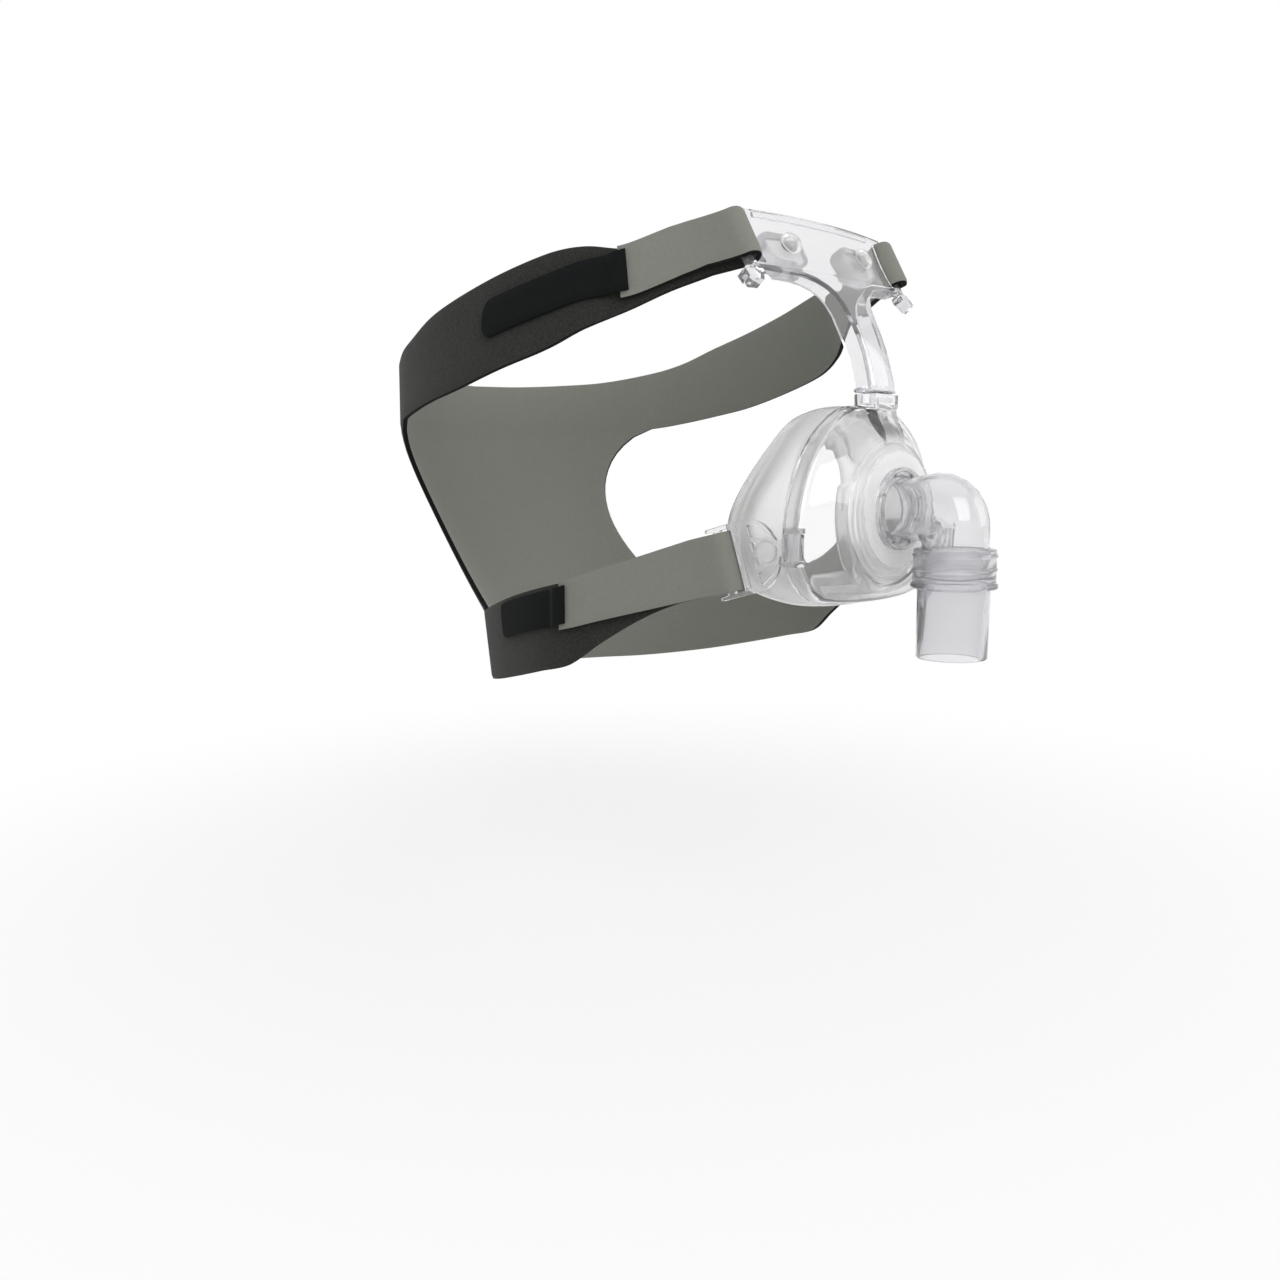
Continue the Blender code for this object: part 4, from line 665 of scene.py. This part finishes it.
def lower_band():
    """Stations of the lower band from the nape to the clip's strap bar."""
    bar, up = clip_bar()
    half = LOWER_STRAP_WIDTH / 2
    neck = HEAD_HALF_WIDTH - NECK_INSET
    rows = [(-neck * share, y, top, bottom) for share, y, top, bottom in LOWER_BAND]
    x, y, top, bottom = rows[-1]
    tall = half / cos(CLIP_SLOPE)
    for share in (0.30, 0.55, 0.8):
        rows.append((mix(x, bar.x, share), mix(y, bar.y, share), mix(top, bar.z + tall, share),
                     mix(bottom, bar.z - tall, 1 - (1 - share) ** 1.7)))
    stations = []
    for x, y, top, bottom in smooth_path(rows, SPANS):
        side = Vector((x, y - HEAD_CENTRE_Y, 0.0)).normalized()
        out = NECK_LEAN * min(1.0, max(0.0, (y - NECK_LEAN_FROM_Y) / NECK_LEAN_OVER))
        stations.append([Vector((x, y, (top + bottom) / 2)), Vector((side.x * out, side.y * out, 1.0)),
                         (top - bottom) / 2])
    return stations, bar, up, half


def end_half(half, along_top):
    """Half width of a folded strap's free end; a strap that lies along its band's top edge tapers."""
    return half * (1 - RETURN_TAPER) if along_top else half


def lift(wide, narrow, along_top):
    """How far a folded strap's middle lies above the middle of its band."""
    return wide - narrow + GAP if along_top else RETURN_RISE


def threaded(stations, bar, up, half, bar_half, back_run, along_top):
    """Ends a band at a strap bar: in towards the head, round the bar and back along the outside."""
    turn_radius = bar_half + GAP + LAMINATE / 2 + FOLD_PLAY
    count = len(stations)
    ease_over = 4 * SPANS
    blend = [min(1.0, max(0.0, (k - (count - 1 - ease_over)) / ease_over)) for k in range(count)]
    for station, share in zip(stations, blend):
        station[1] = Vector(station[1]).normalized().lerp(up, share * share)
    ahead = bar - stations[-1][0]
    ahead = (ahead - up * ahead.dot(up)).normalized()
    out = ahead.cross(up).normalized()
    shifted = []
    for station, share in zip(stations, blend):
        shifted.append((station[0] - out * turn_radius * share, station[1], station[2]))
    inner = Band(shifted + [(bar - out * turn_radius, up, half)])
    fold = []
    for a in np.linspace(0.0, pi, FOLD_POINTS)[1:-1]:
        fold.append((bar - out * turn_radius * cos(a) + ahead * turn_radius * sin(a), up, half))
    rest_gap = LAMINATE + RETURN_GAP
    outer = []
    for k in range(RETURN_STEPS + 1):
        run = back_run * k / RETURN_STEPS
        centre, width, tangent, normal, wide = inner.at(inner.length - run)
        share = min(1.0, run / (back_run * RETURN_SETTLED))
        offset = mix(2 * turn_radius, rest_gap, share * (2 - share))
        narrow = mix(half, end_half(half, along_top), k / RETURN_STEPS)
        rise = lift(wide, narrow, along_top) * min(1.0, run / RETURN_RISE_OVER)
        outer.append((centre + normal * offset + width * rise, width, narrow))
    return inner, fold, outer


def columns(station):
    """Points across the band at one station, from its bottom edge to its top edge."""
    centre, up, half = station
    return [centre + up * half * share for share in COLUMN_SHARES]


def laminate(name, surface, seam):
    """Thickens a surface into loop cloth outside, lining inside and a foam edge round its free rim.

    surface is a bmesh whose faces look outwards; seam holds the points where its rim is no edge.
    """
    spots = [Vector((abs(v.co.x), v.co.y, v.co.z)) for v in seam]

    def on_seam(vert):
        spot = Vector((abs(vert.co.x), vert.co.y, vert.co.z))
        return min((spot - s).length for s in spots) < SEAM_WITHIN

    surface.normal_update()
    surface.verts.index_update()
    free = {v.index for e in surface.edges if len(e.link_faces) == 1
            and not all(on_seam(v) for v in e.verts) for v in e.verts}
    verts, faces, kinds = [], [], []
    count = len(surface.verts)
    for sign in (1, -1):
        for v in surface.verts:
            share = FREE_EDGE if v.index in free else 1.0
            verts.append(v.co + v.normal * LAMINATE / 2 * share * sign)
    for f in surface.faces:
        ids = [v.index for v in f.verts]
        faces.append(ids)
        kinds.append(0)
        faces.append([i + count for i in reversed(ids)])
        kinds.append(1)
    for e in surface.edges:
        if len(e.link_faces) == 1:
            loop = next(lp for lp in e.link_faces[0].loops if lp.edge == e)
            a, b = loop.vert.index, loop.link_loop_next.vert.index
            faces.append([b, a, a + count, b + count])
            kinds.append(2)
    mesh = bpy.data.meshes.new(name)
    mesh.from_pydata([tuple(v) for v in verts], [], faces)
    for finish in (LOOP, LINING, FOAM):
        mesh.materials.append(finish)
    mesh.polygons.foreach_set("material_index", kinds)
    mesh.shade_smooth()
    mesh.set_sharp_from_angle(angle=radians(50))
    surface.free()
    return placed(name, mesh)


def grid_faces(bm, grid):
    """Faces between neighbouring rows of points, looking away from the head."""
    for left, right in zip(grid, grid[1:]):
        for j in range(len(left) - 1):
            bm.faces.new((left[j], right[j], right[j + 1], left[j + 1]))


def depth_at(grid, x, column, reach):
    """Depth of a band's edge where it crosses the plane at x, on its back half."""
    points = [(-line[column].co.x, line[column].co.y) for line in grid[:reach]]
    return float(np.interp(-x, [p[0] for p in points], [p[1] for p in points]))


def mirrored(bm):
    """Adds the wearer's left half of the surface, welded along the middle."""
    twins = {}
    for vert in list(bm.verts):
        if abs(vert.co.x) < 1e-5:
            vert.co.x = 0.0
        twins[vert] = vert if vert.co.x == 0.0 else bm.verts.new((-vert.co.x, vert.co.y, vert.co.z))
    for face in list(bm.faces):
        bm.faces.new([twins[v] for v in reversed(face.verts)])


upper = threaded(*upper_band(), bar_half=ARM_WALL, back_run=UPPER_RETURN, along_top=False)
lower = threaded(*lower_band(), bar_half=CLIP_THICKNESS * 0.75, back_run=LOWER_RETURN, along_top=True)
PANEL_COUNT = PANEL_SPANS * SPANS + 1


def build_headgear():
    """Upper band, back panel and the back of the lower band, in one cut piece."""
    bm = bmesh.new()
    inner, fold, outer = upper
    stations = list(zip(inner.centre, inner.up, inner.half)) + fold + outer
    top = [[bm.verts.new(p) for p in columns(s)] for s in stations]
    grid_faces(bm, top)
    inner = lower[0]
    stations = list(zip(inner.centre, inner.up, inner.half))[:STRAP_FROM + 1]
    low = [[bm.verts.new(p) for p in columns(s)] for s in stations]
    grid_faces(bm, low)
    high_row = [top[k][0] for k in range(PANEL_COUNT)]
    low_row = [low[k][-1] for k in range(PANEL_COUNT)]
    rows = [high_row]
    for r in range(1, PANEL_ROWS):
        v = r / PANEL_ROWS
        row = []
        waist = 1 - (1 - PANEL_WAIST) * sin(pi * v) ** PANEL_WAIST_CURVE
        for a, b in zip(high_row, low_row):
            x = mix(a.co.x, b.co.x, v) * waist
            depth_top = depth_at(top, x, 0, PANEL_COUNT + SPANS)
            depth_low = depth_at(low, x, -1, PANEL_COUNT + SPANS)
            depth = mix(depth_top, depth_low, v ** PANEL_DEPTH_CURVE)
            row.append(bm.verts.new((x, depth, mix(a.co.z, b.co.z, v))))
        rows.append(row)
    rows.append(low_row)
    for high, under in zip(rows, rows[1:]):
        for k in range(len(high) - 1):
            bm.faces.new((high[k + 1], high[k], under[k], under[k + 1]))
    mirrored(bm)
    gear = laminate("headgear_cloth", bm, low[-1])
    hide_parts("headgear")
    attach(gear, "mask")


def blend_ends():
    """Where the lower strap's own piece starts, and the point on the lower band this far before the bar."""
    inner = lower[0]
    start = inner.centre[STRAP_FROM]
    end = inner.at(inner.length - BLEND_END)[0]
    return start, end


def build_lower_strap(name, side):
    """The front of a lower strap: out to the clip, round its bar and back."""
    bm = bmesh.new()
    inner, fold, outer = lower
    stations = list(zip(inner.centre, inner.up, inner.half))[STRAP_FROM:] + fold + outer
    grid = []
    for s in stations:
        points = [Vector((p.x * -side, p.y, p.z)) for p in columns(s)]
        grid.append([bm.verts.new(p) for p in (points if side < 0 else points[::-1])])
    grid_faces(bm, grid)
    strap = laminate(name, bm, grid[0])
    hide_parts("headgear")
    start, end = blend_ends()
    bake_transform(strap)


build_headgear()
build_lower_strap("right_lower_strap", -1)
build_lower_strap("left_lower_strap", 1)


def build_tab(name, node, side, inner, back_run, length, strap_half, corner, along_top):
    """Hook tape welded over the end of a folded strap and pressed on the loop cloth behind it."""
    on_strap = LAMINATE * 1.5 + RETURN_GAP + GAP + TAB_THICKNESS / 2
    on_band = LAMINATE / 2 + GAP + TAB_LIFT + TAB_THICKNESS / 2
    total = TAB_OVERLAP + length
    narrow = end_half(strap_half, along_top)
    thick = TAB_THICKNESS / 2
    rings = []
    runs = list(np.linspace(0.0, total - corner, TAB_STATIONS))
    for run in runs + [total - corner * left for left in TAB_END_SHARES]:
        place = inner.length - (back_run - TAB_OVERLAP) - run
        centre, up, tangent, normal, half = inner.at(place)
        step = min(1.0, max(0.0, (run - TAB_OVERLAP - TAB_DROP_AFTER) / TAB_DROP_OVER))
        offset = mix(on_strap, on_band, step * step * (3 - 2 * step))
        end_on = max(0.0, 1 - (total - run) / corner)
        wide = TAB_WIDTH / 2 - corner * (1 - max(0.0, 1 - end_on ** 2) ** 0.5)
        middle = centre + normal * offset + up * lift(half, narrow, along_top)
        ring = []
        for a, b in TAB_SECTION:
            p = middle + up * wide * a + normal * thick * b
            ring.append((p.x * -side, p.y, p.z))
        rings.append(ring)
    tab = mesh_object(name, *loft(rings), HOOK)
    tab.data.set_sharp_from_angle(angle=radians(50))
    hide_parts(node)
    return tab


for side_name, side_sign in (("right", -1), ("left", 1)):
    upper_tab = build_tab("upper_" + side_name + "_hook", "upper_" + side_name + "_tab", side_sign, upper[0],
                          UPPER_RETURN, UPPER_TAB_LENGTH, UPPER_STRAP_WIDTH / 2, UPPER_TAB_CORNER, False)
    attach(upper_tab, "mask")
    lower_tab = build_tab("lower_" + side_name + "_hook", "lower_" + side_name + "_tab", side_sign, lower[0],
                          LOWER_RETURN, LOWER_TAB_LENGTH, LOWER_STRAP_WIDTH / 2, LOWER_TAB_CORNER, True)
    blend_from, blend_to = blend_ends()
    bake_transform(lower_tab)


# Floor, light and camera

def either(tree, first, second):
    """The larger of two values, for rays of one kind or another."""
    made = tree.nodes.new("ShaderNodeMath")
    made.operation = "MAXIMUM"
    tree.links.new(first, made.inputs[0])
    tree.links.new(second, made.inputs[1])
    return made.outputs[0]


def mixed(tree, share, first, second):
    """Two shaders mixed, all of the second where the share is 1."""
    made = tree.nodes.new("ShaderNodeMixShader")
    tree.links.new(share, made.inputs["Fac"])
    tree.links.new(first, made.inputs[1])
    tree.links.new(second, made.inputs[2])
    return made.outputs[0]


def build_stage():
    """Pale floor that fades into the white background, away from the object's shadow."""
    made, tree, shader = shader_of("stage_white")
    shader.inputs["Base Color"].default_value = (0.86, 0.86, 0.86, 1.0)
    shader.inputs["Roughness"].default_value = 0.9
    shader.inputs["Specular IOR Level"].default_value = 0.1
    glow = tree.nodes.new("ShaderNodeEmission")
    glow.inputs["Strength"].default_value = 1.0
    place = tree.nodes.new("ShaderNodeTexCoord")
    away = tree.nodes.new("ShaderNodeVectorMath")
    away.operation = "LENGTH"
    fade = tree.nodes.new("ShaderNodeMapRange")
    fade.inputs["From Min"].default_value = FADE_FROM
    fade.inputs["From Max"].default_value = FADE_TO
    fade.inputs["To Min"].default_value = SHADOW_WHITE
    fade.interpolation_type = "SMOOTHSTEP"
    path = tree.nodes.new("ShaderNodeLightPath").outputs
    seen = either(tree, path["Is Camera Ray"], path["Is Glossy Ray"])
    seen = either(tree, seen, path["Is Transmission Ray"])
    share = tree.nodes.new("ShaderNodeMath")
    share.operation = "MULTIPLY"
    tree.links.new(place.outputs["Object"], away.inputs[0])
    tree.links.new(away.outputs["Value"], fade.inputs["Value"])
    tree.links.new(seen, share.inputs[0])
    tree.links.new(fade.outputs["Result"], share.inputs[1])
    surface = mixed(tree, share.outputs[0], shader.outputs[0], glow.outputs[0])
    tree.links.new(surface, tree.nodes["Material Output"].inputs["Surface"])
    bpy.ops.mesh.primitive_plane_add(size=12.0, location=(0.0, 0.05, FLOOR_Z))
    floor = bpy.context.object
    floor.name = "floor"
    floor.data.materials.append(made)


def build_world():
    """White for the camera, shaded white for gloss and clear pieces, and softer light on the rest."""
    world = bpy.data.worlds.new("studio")
    scene.world = world
    world.use_nodes = True
    tree = world.node_tree
    light = tree.nodes["Background"]
    light.inputs["Color"].default_value = (1.0, 1.0, 1.0, 1.0)
    light.inputs["Strength"].default_value = SKY_LIGHT
    white = tree.nodes.new("ShaderNodeBackground")
    place = tree.nodes.new("ShaderNodeTexCoord")
    split = tree.nodes.new("ShaderNodeSeparateXYZ")
    tree.links.new(place.outputs["Generated"], split.inputs[0])
    tree.links.new(ramp(tree, split.outputs["Z"], *SKY_SHADES), white.inputs["Color"])
    backdrop = tree.nodes.new("ShaderNodeBackground")
    backdrop.inputs["Color"].default_value = (1.0, 1.0, 1.0, 1.0)
    path = tree.nodes.new("ShaderNodeLightPath").outputs
    clear = either(tree, path["Is Glossy Ray"], path["Is Transmission Ray"])
    around = mixed(tree, clear, light.outputs[0], white.outputs[0])
    surface = mixed(tree, path["Is Camera Ray"], around, backdrop.outputs[0])
    tree.links.new(surface, tree.nodes["World Output"].inputs["Surface"])


def area_light(name, place, size, power):
    """A soft square lamp aimed at the origin."""
    lamp = bpy.data.lights.new(name, "AREA")
    lamp.size = size
    lamp.energy = power
    thing = placed(name, lamp)
    thing.location = place
    thing.rotation_euler = (-Vector(place)).to_track_quat("-Z", "Y").to_euler()


def build_camera():
    """The camera, as fitted to the photograph."""
    lens = bpy.data.cameras.new("camera")
    lens.sensor_width = 36.0
    lens.lens = CAMERA_LENS
    lens.clip_start = 0.01
    camera = placed("camera", lens)
    camera.location = CAMERA_AT
    camera.rotation_euler = Vector(CAMERA_AHEAD).to_track_quat("-Z", "Y").to_euler()
    scene.camera = camera


build_stage()
build_world()
area_light("key", (-0.55, -0.95, 0.75), size=0.95, power=9.0)
area_light("fill", (0.75, -0.75, 0.40), size=0.70, power=2.0)
build_camera()
scene.view_settings.view_transform = "Standard"
scene.cycles.max_bounces = BOUNCES
scene.cycles.transmission_bounces = BOUNCES
scene.cycles.transparent_max_bounces = BOUNCES
